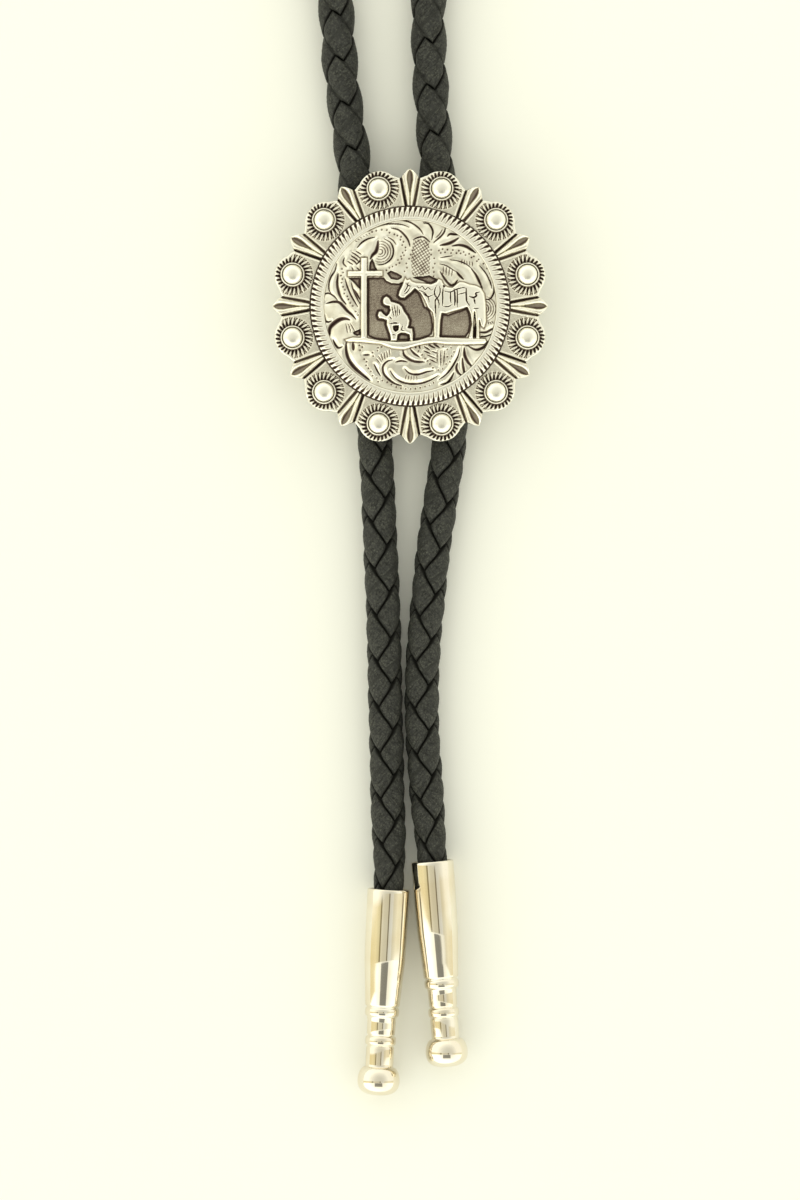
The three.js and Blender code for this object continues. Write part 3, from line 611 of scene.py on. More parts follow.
# Sunk panels behind the figures
PANELS = [
    [(-7.2, 4.15), (-4.3, 4.15), (-3.9, 3.6), (-3, 3.2), (-1.8, 3.15), (-1.3, 3.4), (0.6, 2.6),
        (1.4, 1.9), (2, 0.6), (2.5, -0.7), (3.2, -1), (3.7, -2.5), (3.9, -4), (3.7, -5.3), (2.9, -5.9),
        (1.2, -6.3), (0, -6.4), (-3.6, -6.4), (-5.6, -6.2), (-6.8, -5.8), (-7.2, -5.3)],
    [(4.9, -1.7), (6.3, -2), (7.3, -1.6), (8.6, -1.2), (9.2, -0.7), (9.8, -1), (10.05, -2.4),
        (10.15, -3.6), (9.9, -4.9), (9.3, -5.8), (4.3, -5.9), (4.7, -5)],
    [(10.3, -1.3), (11.1, -1.3), (10.7, -2.8)],
    [(11, -3), (11.35, -3.6), (10.9, -5.8), (10.1, -5.8), (10.6, -4.2)],
    [(-6.85, 5.2), (-6.75, 6.6), (-6.3, 7.35), (-5.9, 6.6), (-5.7, 5.9), (-5.3, 5.2)],
    [(-3.9, 4.8), (-3.2, 5.3), (-2.2, 4.9), (-1.3, 4.4), (-1.3, 4), (-2, 3.6), (-3.2, 3.8)],
    [(0.2, 4.05), (1.2, 3.75), (2.2, 3.4), (3.2, 2.9), (3.8, 3.1), (4.7, 3.8), (3.9, 4.15), (3.2, 4.5),
        (2.2, 4.3), (1, 4.25)],
    [(-10.3, 4.15), (-8, 4.15), (-8, 1.9), (-8.6, 2.4), (-9.3, 3.2)],
    [(-9.5, -4.9), (-8.1, -4.3), (-8.1, -5.4), (-8.8, -5.6), (-9.4, -5.3)],
]


def round_strip(name, rings, steps):
    """A grid to be bent round in a ring. Gives the piece, and the ring number and angle of its points."""
    deselect()
    bpy.ops.mesh.primitive_grid_add(x_subdivisions=steps, y_subdivisions=rings - 1, size=2)
    obj = bpy.context.object
    obj.name = name
    at = points_of(obj)
    ring = np.rint((at[:, 1] + 1) / 2 * (rings - 1)).astype(int)
    step = np.rint((at[:, 0] + 1) / 2 * steps) % steps
    return obj, ring, step / steps * 2 * math.pi


def points_of(obj):
    at = np.empty(len(obj.data.vertices) * 3, np.float32)
    obj.data.vertices.foreach_get("co", at)
    return at.reshape(-1, 3).astype(float)


def move_points(obj, points):
    """Places the piece's points, in millimetres."""
    obj.data.vertices.foreach_set("co", (points * MM).astype(np.float32).ravel())
    obj.data.update()


def close_up(obj, distance=1e-6):
    activate(obj)
    bpy.ops.object.mode_set(mode="EDIT")
    bpy.ops.mesh.select_all(action="SELECT")
    bpy.ops.mesh.remove_doubles(threshold=distance)
    bpy.ops.mesh.normals_make_consistent(inside=False)
    bpy.ops.object.mode_set(mode="OBJECT")


def bump(d, width):
    """1 on a line, falling to 0 at half the width from it."""
    return np.clip(1 - (2 * d / width) ** 2, 0, 1)


def rim_outline(degrees):
    """The scalloped edge's distance from the middle, for an angle from the nearest lobe's middle."""
    a = np.radians(np.abs(degrees))
    across = LOBE_CIRCLE * np.sin(a)
    lobe = LOBE_CIRCLE * np.cos(a) + np.sqrt(np.clip(LOBE_RADIUS**2 - across**2, 0, None))
    fan = np.interp(
        np.degrees(a), [7.3, 8.4, 9.6, 10.5, 11.0, 11.6, 12.6, 13.6, 14.4, 15.0],
        [21.97, 21.78, 21.53, 21.38, 21.50, 21.76, 22.18, 22.56, 22.80, 22.93],
    )
    return np.where(np.degrees(a) < 7.3, lobe, fan)


def rim_top(r, theta):
    """Height over the flange and darkness of the rim's lobes and fans."""
    degrees = (np.degrees(theta) - 15 + 15) % 30 - 15
    edge = rim_outline(degrees)
    a = np.radians(degrees)
    lobe_number = np.floor(np.degrees(theta) / 30)
    du, v = r * np.cos(a) - STUD_CIRCLE, r * np.sin(a)
    rho, beta = np.hypot(du, v), np.arctan2(v, du)
    # Fan coordinates: out from the middle and across from the fan's own line
    b = np.radians(15 - np.abs(degrees))
    side = np.sign(degrees)
    out, w = r * np.cos(b), r * np.sin(b)
    half = 0.44 + (out - 16.7) * 0.20
    t = np.clip(w / half, 0, 1)
    # Lobe: leaf-shaped seeds round the bezel, with dark cuts between them
    jitter = 0.5 * np.sin(3 * beta + 1.7 * lobe_number)
    turn = 25 * beta + jitter + 2.2 * (rho - 2) + 0.6 * lobe_number
    leaf = np.interp(rho, [2.0, 2.15, 2.5, 2.85, 3.1, 3.35, 3.5], [0.16, 0.26, 0.46, 0.56, 0.52, 0.22, 0.0])
    away = np.abs((turn / math.pi) % 2 - 1)
    seed = 1 - ramp01(away, leaf - 0.16, leaf + 0.16)
    second = 1 - ramp01(np.abs(((turn + math.pi) / math.pi) % 2 - 1), 0.10, 0.34)
    second = second * ramp01(rho, 2.75, 2.95) * (1 - ramp01(rho, 3.25, 3.45))
    seed = np.maximum(seed, 0.8 * second)
    zone = ramp01(rho, 1.98, 2.08) * (1 - ramp01(rho, 3.28, 3.52))
    cone = np.interp(rho, [0, 1.9, 2.1, 3.35, 3.6, 6], [0.5, 0.5, 0.36, 0.18, 0.12, 0.12])
    height = cone + (0.12 * seed - 0.20 * (1 - seed)) * zone
    deep = np.interp(rho, [2.0, 2.4, 2.9, 3.4], [0.98, 0.93, 0.88, 0.72])
    dark = zone * (deep * (1 - seed) + 0.10 * seed)
    dark = np.maximum(dark, 0.62 * bump(rho - 2.04, 0.30))
    # Grained ground in the lobe's inner corners
    ground = ramp01(rho, 3.40, 3.60) * (1 - ramp01(r, 20.2, 20.8))
    grain = 0.5 + 0.5 * np.sin(13 * du + 5 * np.sin(7 * v)) * np.sin(14 * v + 4 * np.sin(6 * du))
    height = height * (1 - ground) + (0.12 + 0.03 * grain) * ground
    dark = dark * (1 - ground) + (0.13 + 0.16 * grain) * ground
    # Smooth bright lip on the lobe's outer edge
    lip = ramp01(r, edge - 0.52, edge - 0.36) * (rho > 2.8)
    height = height * (1 - lip) + 0.30 * lip
    dark = dark * (1 - 0.97 * lip)
    # Fan: two pleats that lean out from a hollow shaped like a drop
    hollow_half = np.interp(
        out, [18.2, 19.2, 20.2, 21.1, 21.9, 22.4, 22.75], [0.0, 0.12, 0.28, 0.44, 0.40, 0.24, 0.0]
    )
    across = w / np.maximum(hollow_half, 1e-3)
    hollow = (1 - ramp01(across, 0.72, 1.08)) * (hollow_half > 0.02)
    ridge = np.sin(np.pi * np.clip((w - hollow_half) / np.maximum(half - hollow_half, 0.05), 0, 1)) ** 0.6
    pleat = 0.20 + 0.50 * ridge - 0.26 * hollow
    fan_dark = hollow * (0.50 + 0.30 * ramp01(across * side, -0.2, 0.8))
    outer_line = bump(t - 0.74, 0.16) * ramp01(out, 18.6, 20.0) * (1 - ramp01(out, 21.6, 22.1))
    pleat = pleat - 0.08 * outer_line
    fan_dark = np.maximum(fan_dark, 0.42 * outer_line)
    fan_dark = np.maximum(fan_dark, 0.30 * bump(w, 0.22) * (1 - ramp01(out, 17.6, 18.6)))
    is_fan = 1 - ramp01(w - half, -0.03, 0.05)
    # Groove between fan and lobe, and the lobe's bright edge beside it
    groove_width = np.interp(out, [16.7, 18.8, 21.3, 22.0], [0.46, 0.44, 0.34, 0.10])
    groove = bump(w - half - groove_width / 2, groove_width * 1.15)
    beside = bump(w - half - groove_width - 0.12, 0.30) * (r < edge - 0.3)
    height = height * (1 - is_fan) + pleat * is_fan
    dark = dark * (1 - is_fan) + fan_dark * is_fan
    height = height * (1 - groove) - 0.12 * groove + 0.10 * beside * (1 - groove)
    dark = np.maximum(dark * (1 - 0.9 * beside), (0.86 - 0.10 * side) * ramp01(groove, 0.15, 0.8))
    # Step down beside the border ring
    foot = 1 - ramp01(r, 16.58, 16.76)
    dark = np.maximum(dark, 0.80 * foot)
    height = height * (1 - foot) + 0.05 * foot
    rounded = np.clip((edge - r) / 0.28, 0, 1)
    height = height - 0.22 * (1 - np.sqrt(rounded * (2 - rounded)))
    return height, dark


TOP_ROWS = 58
rim, ring, theta = round_strip("concho_rim", TOP_ROWS + 6, 1320)
edge = rim_outline((np.degrees(theta) % 30) - 15)
along = np.clip((ring - 4) / (TOP_ROWS - 1), 0, 1)
radius = np.choose(np.clip(ring, 0, 4), [14.4 + 0 * edge, edge - 0.45, edge - 0.08, edge, edge])
radius = np.where(ring > 4, edge - (edge - RIM_INNER) * along, radius)
radius = np.where(ring >= TOP_ROWS + 4, 14.4, radius)
top, dark = rim_top(radius, theta)
height = FLANGE_TOP + top
height = np.where(ring <= 1, CONCHO_BACK, height)
height = np.where(ring == 2, CONCHO_BACK + 0.14, height)
height = np.where(ring == 3, FLANGE_TOP - 0.42, height)
height = np.where(ring == TOP_ROWS + 4, FLANGE_TOP + 0.05, height)
height = np.where(ring == TOP_ROWS + 5, CONCHO_BACK, height)
dark = np.where((ring < 4) | (ring > TOP_ROWS + 3), 0.12, dark)
move_points(rim, np.stack([radius * np.cos(theta), radius * np.sin(theta), height], -1))
attribute(rim, "patina", dark)
close_up(rim)

# Border: 117 slanted petals round the dome, parted by thin cuts that open into wedges outside
BORDER_ROWS = 26
border, ring, theta = round_strip("concho_border", BORDER_ROWS + 2, 10 * PETALS)
t = np.clip(ring / (BORDER_ROWS - 1), 0, 1)
wall = np.where(ring == BORDER_ROWS, BORDER_INNER, BORDER_OUTER)
radius = np.where(ring < BORDER_ROWS, BORDER_OUTER - (BORDER_OUTER - BORDER_INNER) * t, wall)
swell = np.interp(
    radius, [BORDER_INNER, 14.36, 14.56, 14.83, 15.18, 15.68, 16.18, 16.48, BORDER_OUTER],
    [0.72, 0.86, 0.92, 0.88, 0.92, 0.90, 0.72, 0.55, 0.30],
)
phase = PETALS * theta / 2 + np.radians(16) * np.sin(5 * theta) + 0.9 * (radius - 15.4)
away = np.abs((phase / math.pi) % 1 - 0.5) * 2
cut_half = np.interp(
    radius, [14.74, 15.0, 15.58, 15.8, 16.2, 16.4, 16.5], [0.0, 0.2, 0.24, 0.34, 0.52, 0.46, 0.2]
)
cut = (1 - ramp01(away, cut_half - 0.10, cut_half + 0.16)) * (cut_half > 0.05)
deep = np.interp(radius, [14.88, 15.38, 15.68, 15.93, 16.38], [0.55, 0.70, 0.80, 0.93, 0.90])
top = swell - cut * np.interp(radius, [14.9, 15.6, 16.0, 16.4], [0.10, 0.14, 0.26, 0.20])
dark = np.clip(deep * cut, 0, 1)
second_cut = 1 - ramp01(np.abs(((phase + 1.5) / math.pi) % 1 - 0.5) * 2, 0.06, 0.26)
dark = np.maximum(dark, 0.32 * second_cut * ramp01(radius, 15.1, 15.4) * (1 - ramp01(radius, 15.7, 15.9)))
dark = np.maximum(dark, 0.85 * ramp01(radius, 16.44, 16.54))
dark = np.maximum(dark, 0.55 * (1 - ramp01(radius, 14.28, 14.42)))
height = np.where(ring < BORDER_ROWS, FLANGE_TOP + top, FLANGE_TOP - 0.5)
move_points(border, np.stack([radius * np.cos(theta), radius * np.sin(theta), height], -1))
attribute(border, "patina", dark)
close_up(border)
activate(border)
bpy.ops.object.mode_set(mode="EDIT")
bpy.ops.mesh.select_all(action="SELECT")
bpy.ops.mesh.region_to_loop()
bpy.ops.mesh.bridge_edge_loops()
bpy.ops.object.mode_set(mode="OBJECT")
close_up(border)


# Dome: engraved scrolls, sunk panels and raised figures
def segment_distance(x, y, loop):
    """Distance to a closed outline, positive inside."""
    p = np.array(loop, float)
    q = np.roll(p, -1, axis=0)
    nearest = np.full(x.shape, 1e9)
    inside = np.zeros(x.shape, bool)
    for (ax, ay), (bx, by) in zip(p, q):
        ex, ey = bx - ax, by - ay
        t = np.clip(((x - ax) * ex + (y - ay) * ey) / (ex * ex + ey * ey), 0, 1)
        nearest = np.minimum(nearest, np.hypot(x - ax - t * ex, y - ay - t * ey))
        crosses = (ay > y) != (by > y)
        with np.errstate(divide="ignore", invalid="ignore"):
            meets = ax + (y - ay) * ex / ey
        inside ^= crosses & (x < meets)
    return np.where(inside, nearest, -nearest)


def smooth_line(points, spacing=0.07):
    """Points of a smooth line through the given ones, evenly spaced."""
    if len(points) < 3:
        line = np.array([(*p, 0) for p in points], float)
    else:
        line = curve_points([(*p, 0) for p in points], 16)
    s = np.concatenate([[0], np.cumsum(np.linalg.norm(np.diff(line, axis=0), axis=1))])
    n = max(2, int(s[-1] / spacing) + 1)
    at = np.linspace(0, s[-1], n)
    return np.stack([np.interp(at, s, line[:, 0]), np.interp(at, s, line[:, 1])], -1), s[-1]


class Surface:
    """The dome's points, with the engraving's strength at each."""

    def __init__(self, x, y):
        self.x, self.y = x, y

    def stroke(self, field, line, width, taper=0.55):
        """Adds a cut along a line: full width in its middle, thin at its ends."""
        reach = width * 0.5 + 0.02
        low, high = line.min(0) - reach, line.max(0) + reach
        near = np.flatnonzero(
            (self.x > low[0]) & (self.x < high[0]) & (self.y > low[1]) & (self.y < high[1])
        )
        if not len(near):
            return
        t = np.linspace(0, 1, len(line))
        widths = width * np.clip(np.sin(np.pi * (0.04 + 0.92 * t)), 0, 1) ** taper
        best = np.zeros(len(near))
        for start in range(0, len(near), 4000):
            part = near[start : start + 4000]
            d = np.hypot(self.x[part, None] - line[None, :, 0], self.y[part, None] - line[None, :, 1])
            best[start : start + 4000] = np.clip(1 - (2 * d / widths) ** 2, 0, 1).max(1)
        field[near] = np.maximum(field[near], best)

    def ticks(self, field, points, length, spacing, slant, width):
        """Adds a row of short cuts across a line."""
        line, total = smooth_line(points, 0.05)
        way = np.gradient(line, axis=0)
        way /= np.linalg.norm(way, axis=1, keepdims=True)
        c, s = math.cos(math.radians(90 + slant)), math.sin(math.radians(90 + slant))
        for at in np.arange(spacing / 2, total, spacing):
            i = min(len(line) - 1, int(at / total * (len(line) - 1)))
            across = np.array([way[i, 0] * c - way[i, 1] * s, way[i, 0] * s + way[i, 1] * c])
            ends = np.stack([line[i] - across * length / 2, line[i] + across * length / 2])
            self.stroke(field, smooth_line([tuple(e) for e in ends], 0.06)[0], width, 0.4)


def drawn(points):
    """Points of the engraving, from the concho's middle."""
    return [(px, py + ENGRAVING_UP) for px, py in points]


SIDE = 300
DOT_WIDTH = 0.42
deselect()
bpy.ops.mesh.primitive_grid_add(x_subdivisions=SIDE, y_subdivisions=SIDE, size=2)
dome = bpy.context.object
dome.name = "concho_dome"
at = points_of(dome)
gx, gy = at[:, 0], at[:, 1]
x = DOME_RADIUS * 1.002 * gx * np.sqrt(1 - gy**2 / 2)
y = DOME_RADIUS * 1.002 * gy * np.sqrt(1 - gx**2 / 2)
surface = Surface(x, y)
cuts, shoulders, fine, figure_cuts = (np.zeros(len(x)) for _ in range(4))
for width, points in CUTS:
    line = smooth_line(drawn(points))[0]
    surface.stroke(cuts, line, 1.3 * width)
    surface.stroke(shoulders, line, width + 1.0, 0.25)
for (cx, cy), radii, start, end, width in ARCS:
    for radius in radii:
        turn = np.radians(np.linspace(start, end, 40))
        points = np.stack([cx + radius * np.cos(turn), cy + ENGRAVING_UP + radius * np.sin(turn)], -1)
        surface.stroke(fine, points, width + 0.06, 0.25)
for points, *sizes in TICKS:
    surface.ticks(fine, drawn(points), *sizes)
for row in DOTS:
    for dot in drawn(row):
        surface.stroke(fine, np.array(dot)[None, :], DOT_WIDTH, 0)
for outline in HATCHES:
    d = segment_distance(x, y, drawn(outline))
    mesh_lines = np.maximum(
        np.abs(np.cos(np.pi * (x * 0.85 + y * 0.53) / 0.46)) ** 6,
        np.abs(np.cos(np.pi * (x * 0.55 - y * 0.84) / 0.46)) ** 6,
    )
    fine = np.maximum(fine, 0.85 * mesh_lines * ramp01(d, -0.05, 0.12))
for width, points in FIGURE_CUTS:
    surface.stroke(figure_cuts, smooth_line(drawn(points))[0], 1.35 * width)

figures = np.full(len(x), -1e9)
for outline in (CROSS_UPRIGHT, CROSS_ARM, GROUND, HORSE, RIDER):
    figures = np.maximum(figures, segment_distance(x, y, outline))
for outline in HOLES:
    figures = np.minimum(figures, -segment_distance(x, y, outline))
panel = np.full(len(x), -1e9)
for outline in [drawn(points) for points in PANELS] + HOLES:
    panel = np.maximum(panel, segment_distance(x, y, outline))

dome_height = FLANGE_TOP + 0.75 + 2.2 * (1 - (x**2 + y**2) / DOME_RADIUS**2)
raised = ramp01(figures, -0.03, 0.13)
sunk = ramp01(panel, -0.02, 0.12) * (1 - raised)
rng = np.random.default_rng(3)
stipple = 0.5 + 0.5 * np.sin(17 * x + 4 * np.sin(9 * y)) * np.sin(16 * y + 4 * np.sin(8 * x))
stipple = 0.6 * stipple + 0.4 * rng.random(len(x))
halo = np.exp(-np.clip(-figures, 0, None) / 0.16) * (1 - raised)
cut = np.clip(np.maximum(cuts, 0.8 * fine), 0, 1) * (1 - ramp01(figures, -0.10, 0.0)) * (1 - sunk)
crowned = 0.10 * ramp01(figures, 0.05, 0.45)
height = dome_height + (0.52 + crowned) * raised - (0.38 - 0.07 * stipple) * sunk
height = height - (0.17 * cut + 0.12 * shoulders * (1 - raised)) * (1 - sunk)
height = height - 0.05 * halo * (1 - sunk) - 0.20 * figure_cuts * raised
flow = np.sin(1.9 * x + 1.3 * np.sin(1.1 * y)) * np.sin(1.7 * y + 1.2 * np.sin(1.3 * x))
dark = 0.60 * ramp01(cuts, 0.05, 0.70) + 0.24 * ramp01(cuts, 0.80, 1.0)
dark = np.maximum(dark, 0.56 * ramp01(fine, 0.1, 0.8))
dark = dark * (1 - ramp01(figures, -0.10, 0.0)) * (1 - sunk) + 0.14 + 0.10 * flow
dark = np.maximum(dark, 0.80 * halo)
from_edge = np.minimum(-figures, panel)
lower = ramp01(-y, 0, 4)
panel_dark = 0.94 - (0.20 + 0.42 * stipple + 0.10 * lower) * ramp01(from_edge, 0.15, 0.50)
dark = np.maximum(dark, sunk * panel_dark)
dark = dark * (1 - raised) + raised * np.maximum(0.02, 0.95 * ramp01(figure_cuts, 0.05, 0.6))
move_points(dome, np.stack([x, y, height], -1))
attribute(dome, "patina", np.clip(dark, 0, 1))
activate(dome)
bpy.ops.object.mode_set(mode="EDIT")
bpy.ops.mesh.select_all(action="SELECT")
bpy.ops.mesh.region_to_loop()
bpy.ops.mesh.extrude_edges_move(TRANSFORM_OT_translate={"value": (0, 0, -0.9 * MM)})
bpy.ops.mesh.edge_face_add()
bpy.ops.object.mode_set(mode="OBJECT")
close_up(dome)

# Studs: a smooth bezel ring and a polished dome, turned once and copied round the rim
STUD_PROFILE = [
    (-0.30, 1.98), (0.34, 1.98), (0.48, 1.96), (0.55, 1.91), (0.57, 1.85), (0.55, 1.79), (0.48, 1.74),
    (0.36, 1.71), (0.30, 1.685), (0.36, 1.66), (0.56, 1.63), (0.78, 1.54), (0.98, 1.38), (1.14, 1.16),
    (1.26, 0.88), (1.33, 0.58), (1.365, 0.28), (1.37, 0.0),
]
studs = []
for k in range(12):
    if k == 0:
        profile = [(-(h + 0.7), r) for h, r in [(-0.30, 0.0)] + STUD_PROFILE]
        stud = turned_piece("stud", profile, 48)
        activate(stud)
        stud.rotation_euler = (math.pi / 2, 0, 0)
        bpy.ops.object.transform_apply(location=False, rotation=True, scale=False)
        up = points_of(stud)[:, 2] / MM
        ring = np.hypot(*points_of(stud)[:, :2].T) / MM
        groove = bump(ring - 1.69, 0.16) * (up < 1.28)
        attribute(stud, "patina", np.clip(0.62 * groove + 0.3 * (ring > 1.975), 0, 1))
        first = stud
    else:
        stud = first.copy()
        stud.data = first.data.copy()
        bpy.context.collection.objects.link(stud)
    studs.append(stud)
for k, stud in enumerate(studs):
    turn = math.radians(15 + 30 * k)
    stud_x, stud_y = STUD_CIRCLE * math.cos(turn), STUD_CIRCLE * math.sin(turn)
    place(stud, (stud_x * MM, stud_y * MM, FLANGE_TOP * MM), turn)
deselect()
for stud in studs:
    stud.select_set(True)
bpy.context.view_layer.objects.active = studs[0]
bpy.ops.object.join()
stud_ring = bpy.context.object
stud_ring.name = "concho_studs"

# Back: a flat plate and the post that the clip holds
BACK_PROFILE = [
    (2.7, 0.0), (2.7, 1.4), (2.8, 1.57), (3.0, 1.6), (6.5, 1.6), (6.75, 1.68), (6.9, 1.9), (6.9, 14.5),
    (7.6, 14.5), (7.6, 0.0),
]
back = turned_piece("concho_back", [(-h, r) for h, r in BACK_PROFILE], 96)
activate(back)
back.rotation_euler = (math.pi / 2, 0, 0)
bpy.ops.object.transform_apply(location=False, rotation=True, scale=False)
attribute(back, "patina", np.full(len(back.data.vertices), 0.15))

concho_pieces = [rim, border, dome, stud_ring, back]
for obj in concho_pieces:
    smooth(obj, 75)
    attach(obj, "root")
    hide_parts("concho")


# Materials
def add(tree, kind, values=None, links=None, steps=None, **settings):
    """Adds a node, sets its settings, socket values and colour steps, and links its inputs."""
    node = tree.nodes.new(kind)
    for key, value in settings.items():
        setattr(node, key, value)
    for key, value in (values or {}).items():
        node.inputs[key].default_value = value
    for key, socket in (links or {}).items():
        tree.links.new(socket, node.inputs[key])
    if steps:
        ramp = node.color_ramp
        ramp.elements[0].position = steps[0][0]
        ramp.elements[1].position = steps[-1][0]
        for at, _ in steps[1:-1]:
            ramp.elements.new(at)
        for element, (_, colour) in zip(ramp.elements, steps):
            element.color = linear(colour)
    return node


def new_tree(block):
    block.use_nodes = True
    block.node_tree.nodes.clear()
    return block.node_tree


# Braided cord: split cowhide dyed black right through, matt, with pebbled grain pulled along each strand,
# and painted shade in its seams, creases and dips
leather = bpy.data.materials.new("black_cowhide_laces_with_painted_shade")
tree = new_tree(leather)
u = add(tree, "ShaderNodeAttribute", attribute_name="strand_u").outputs["Fac"]
v = add(tree, "ShaderNodeAttribute", attribute_name="strand_v").outputs["Fac"]
on_strand = add(tree, "ShaderNodeCombineXYZ", links={"X": u, "Y": v}).outputs[0]
# Grain cells of 0.3 mm and hair pores of 0.1 mm
cells = add(
    tree, "ShaderNodeTexVoronoi", {"Scale": 3.1, "Randomness": 1.0}, {"Vector": on_strand}, feature="F1"
).outputs["Distance"]
pores = add(
    tree, "ShaderNodeTexNoise", {"Scale": 8.0, "Detail": 2.0, "Roughness": 0.6}, {"Vector": on_strand}
).outputs["Fac"]
# Creases along the strand, 3 mm long and 0.5 mm apart, bumped and darkened with painted shade
stretched = add(
    tree, "ShaderNodeVectorMath", {1: (0.33, 2.1, 1.0)}, {0: on_strand}, operation="MULTIPLY"
).outputs[0]
folds = add(
    tree, "ShaderNodeTexNoise", {"Scale": 1.0, "Detail": 2.0, "Roughness": 0.5}, {"Vector": stretched}
).outputs["Fac"]
crease = add(
    tree, "ShaderNodeValToRGB", links={"Fac": folds},
    steps=[(0.0, "#000000"), (0.46, "#000000"), (0.50, "#ffffff"), (0.54, "#000000"), (1.0, "#000000")],
).outputs["Color"]
# Wear: paler tops of the grain, blacker between them
grain_tone = add(
    tree, "ShaderNodeMath", {1: 0.6}, {0: cells, 2: pores}, operation="MULTIPLY_ADD"
).outputs[0]
tone = add(
    tree, "ShaderNodeValToRGB", links={"Fac": grain_tone},
    steps=[(0.52, "#4e4f44"), (0.66, "#3a3b33"), (0.80, "#2f302a"), (0.95, "#23241f")],
).outputs["Color"]
patches = add(
    tree, "ShaderNodeTexNoise", {"Scale": 0.45, "Detail": 2.0}, {"Vector": on_strand}
).outputs["Fac"]
patch_level = add(
    tree, "ShaderNodeMapRange", {"From Min": 0.3, "From Max": 0.7, "To Min": 0.75, "To Max": 1.2},
    {"Value": patches},
).outputs[0]
worn = add(
    tree, "ShaderNodeVectorMath", links={0: tone, 3: patch_level}, operation="SCALE"
).outputs[0]
# Painted shade along the seams between strands
seam_shade = add(tree, "ShaderNodeAttribute", attribute_name="seam_shade").outputs["Fac"]
# Painted shade in the dips, used at 0.6 of its strength
dip_shade = add(tree, "ShaderNodeAttribute", attribute_name="dip_shade").outputs["Fac"]
shade = add(tree, "ShaderNodeMath", {1: 0.6}, {0: dip_shade}, operation="MULTIPLY").outputs[0]
# Painted shade in the creases
crease_shade = add(tree, "ShaderNodeMath", {1: 0.55}, {0: crease}, operation="MULTIPLY").outputs[0]
# Painted shade: the dips, creases and seams darken the colour towards near-black, and the specular level
# drops with them
low = add(tree, "ShaderNodeMath", links={0: shade, 1: crease_shade}, operation="MAXIMUM").outputs[0]
dark = add(tree, "ShaderNodeMath", links={0: low, 1: seam_shade}, operation="MAXIMUM").outputs[0]
colour = add(
    tree, "ShaderNodeMix", {7: linear("#191916")}, {0: dark, 6: worn}, data_type="RGBA"
).outputs[2]
sheen = add(
    tree, "ShaderNodeMapRange", {"To Min": 0.5, "To Max": 0.02}, {"Value": dark}
).outputs[0]
relief = add(
    tree, "ShaderNodeMath", {1: -0.8}, {0: crease, 2: grain_tone}, operation="MULTIPLY_ADD"
).outputs[0]
bumps = add(
    tree, "ShaderNodeBump", {"Strength": 0.7, "Distance": 0.00014}, {"Height": relief}, invert=True
).outputs[0]
shader = add(
    tree, "ShaderNodeBsdfPrincipled", {"Roughness": 0.58, "IOR": 1.45},
    {"Base Color": colour, "Specular IOR Level": sheen, "Normal": bumps},
)
add(tree, "ShaderNodeOutputMaterial", links={"Surface": shader.outputs[0]})
for obj in [neck, *(t[0] for t in tails.values())]:
    paint(obj, leather)

# Tips: turned brass under bright nickel, a mirror with a warm cast that thins a little here and there
polished = bpy.data.materials.new("bright_nickel_on_brass")
tree = new_tree(polished)
where = add(tree, "ShaderNodeTexCoord").outputs["Object"]
thin = add(tree, "ShaderNodeTexNoise", {"Scale": 160.0, "Detail": 2.0}, {"Vector": where}).outputs["Fac"]
cast = add(
    tree, "ShaderNodeValToRGB", links={"Fac": thin}, steps=[(0.35, "#efe9da"), (0.65, "#e9dfca")]
).outputs["Color"]
shader = add(
    tree, "ShaderNodeBsdfPrincipled", {"Metallic": 1.0, "Roughness": 0.05}, {"Base Color": cast}
)
add(tree, "ShaderNodeOutputMaterial", links={"Surface": shader.outputs[0]})
for tip in tip_pieces.values():
    paint(tip, polished)

# Clip: stamped steel strip under satin nickel, with fine rolling lines along it
stamped = bpy.data.materials.new("satin_nickel_on_rolled_steel")
tree = new_tree(stamped)
where = add(tree, "ShaderNodeTexCoord").outputs["Object"]
lines = add(
    tree, "ShaderNodeVectorMath", {1: (9000.0, 400.0, 9000.0)}, {0: where}, operation="MULTIPLY"
).outputs[0]
rolled = add(tree, "ShaderNodeTexNoise", {"Scale": 1.0, "Detail": 3.0}, {"Vector": lines}).outputs["Fac"]
dull = add(
    tree, "ShaderNodeTexNoise", {"Scale": 260.0, "Detail": 3.0, "Roughness": 0.6}, {"Vector": where}
).outputs["Fac"]
cast = add(
    tree, "ShaderNodeValToRGB", links={"Fac": dull},
    steps=[(0.35, "#d6d1c6"), (0.55, "#c4beb1"), (0.70, "#a79f90")],
).outputs["Color"]
rough = add(
    tree, "ShaderNodeMapRange", {"To Min": 0.24, "To Max": 0.46}, {"Value": rolled}
).outputs[0]
bumps = add(
    tree, "ShaderNodeBump", {"Strength": 0.25, "Distance": 0.00002}, {"Height": rolled}
).outputs[0]
shader = add(
    tree, "ShaderNodeBsdfPrincipled", {"Metallic": 1.0},
    {"Base Color": cast, "Roughness": rough, "Normal": bumps},
)
add(tree, "ShaderNodeOutputMaterial", links={"Surface": shader.outputs[0]})
paint(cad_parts["back_clip"], stamped)

# Concho: cast zinc under silver plate, blackened in the cuts and rubbed bright on the highs
antique = bpy.data.materials.new("blackened_silver_plate")
tree = new_tree(antique)
where = add(tree, "ShaderNodeTexCoord").outputs["Object"]
patina = add(tree, "ShaderNodeAttribute", attribute_name="patina").outputs["Fac"]
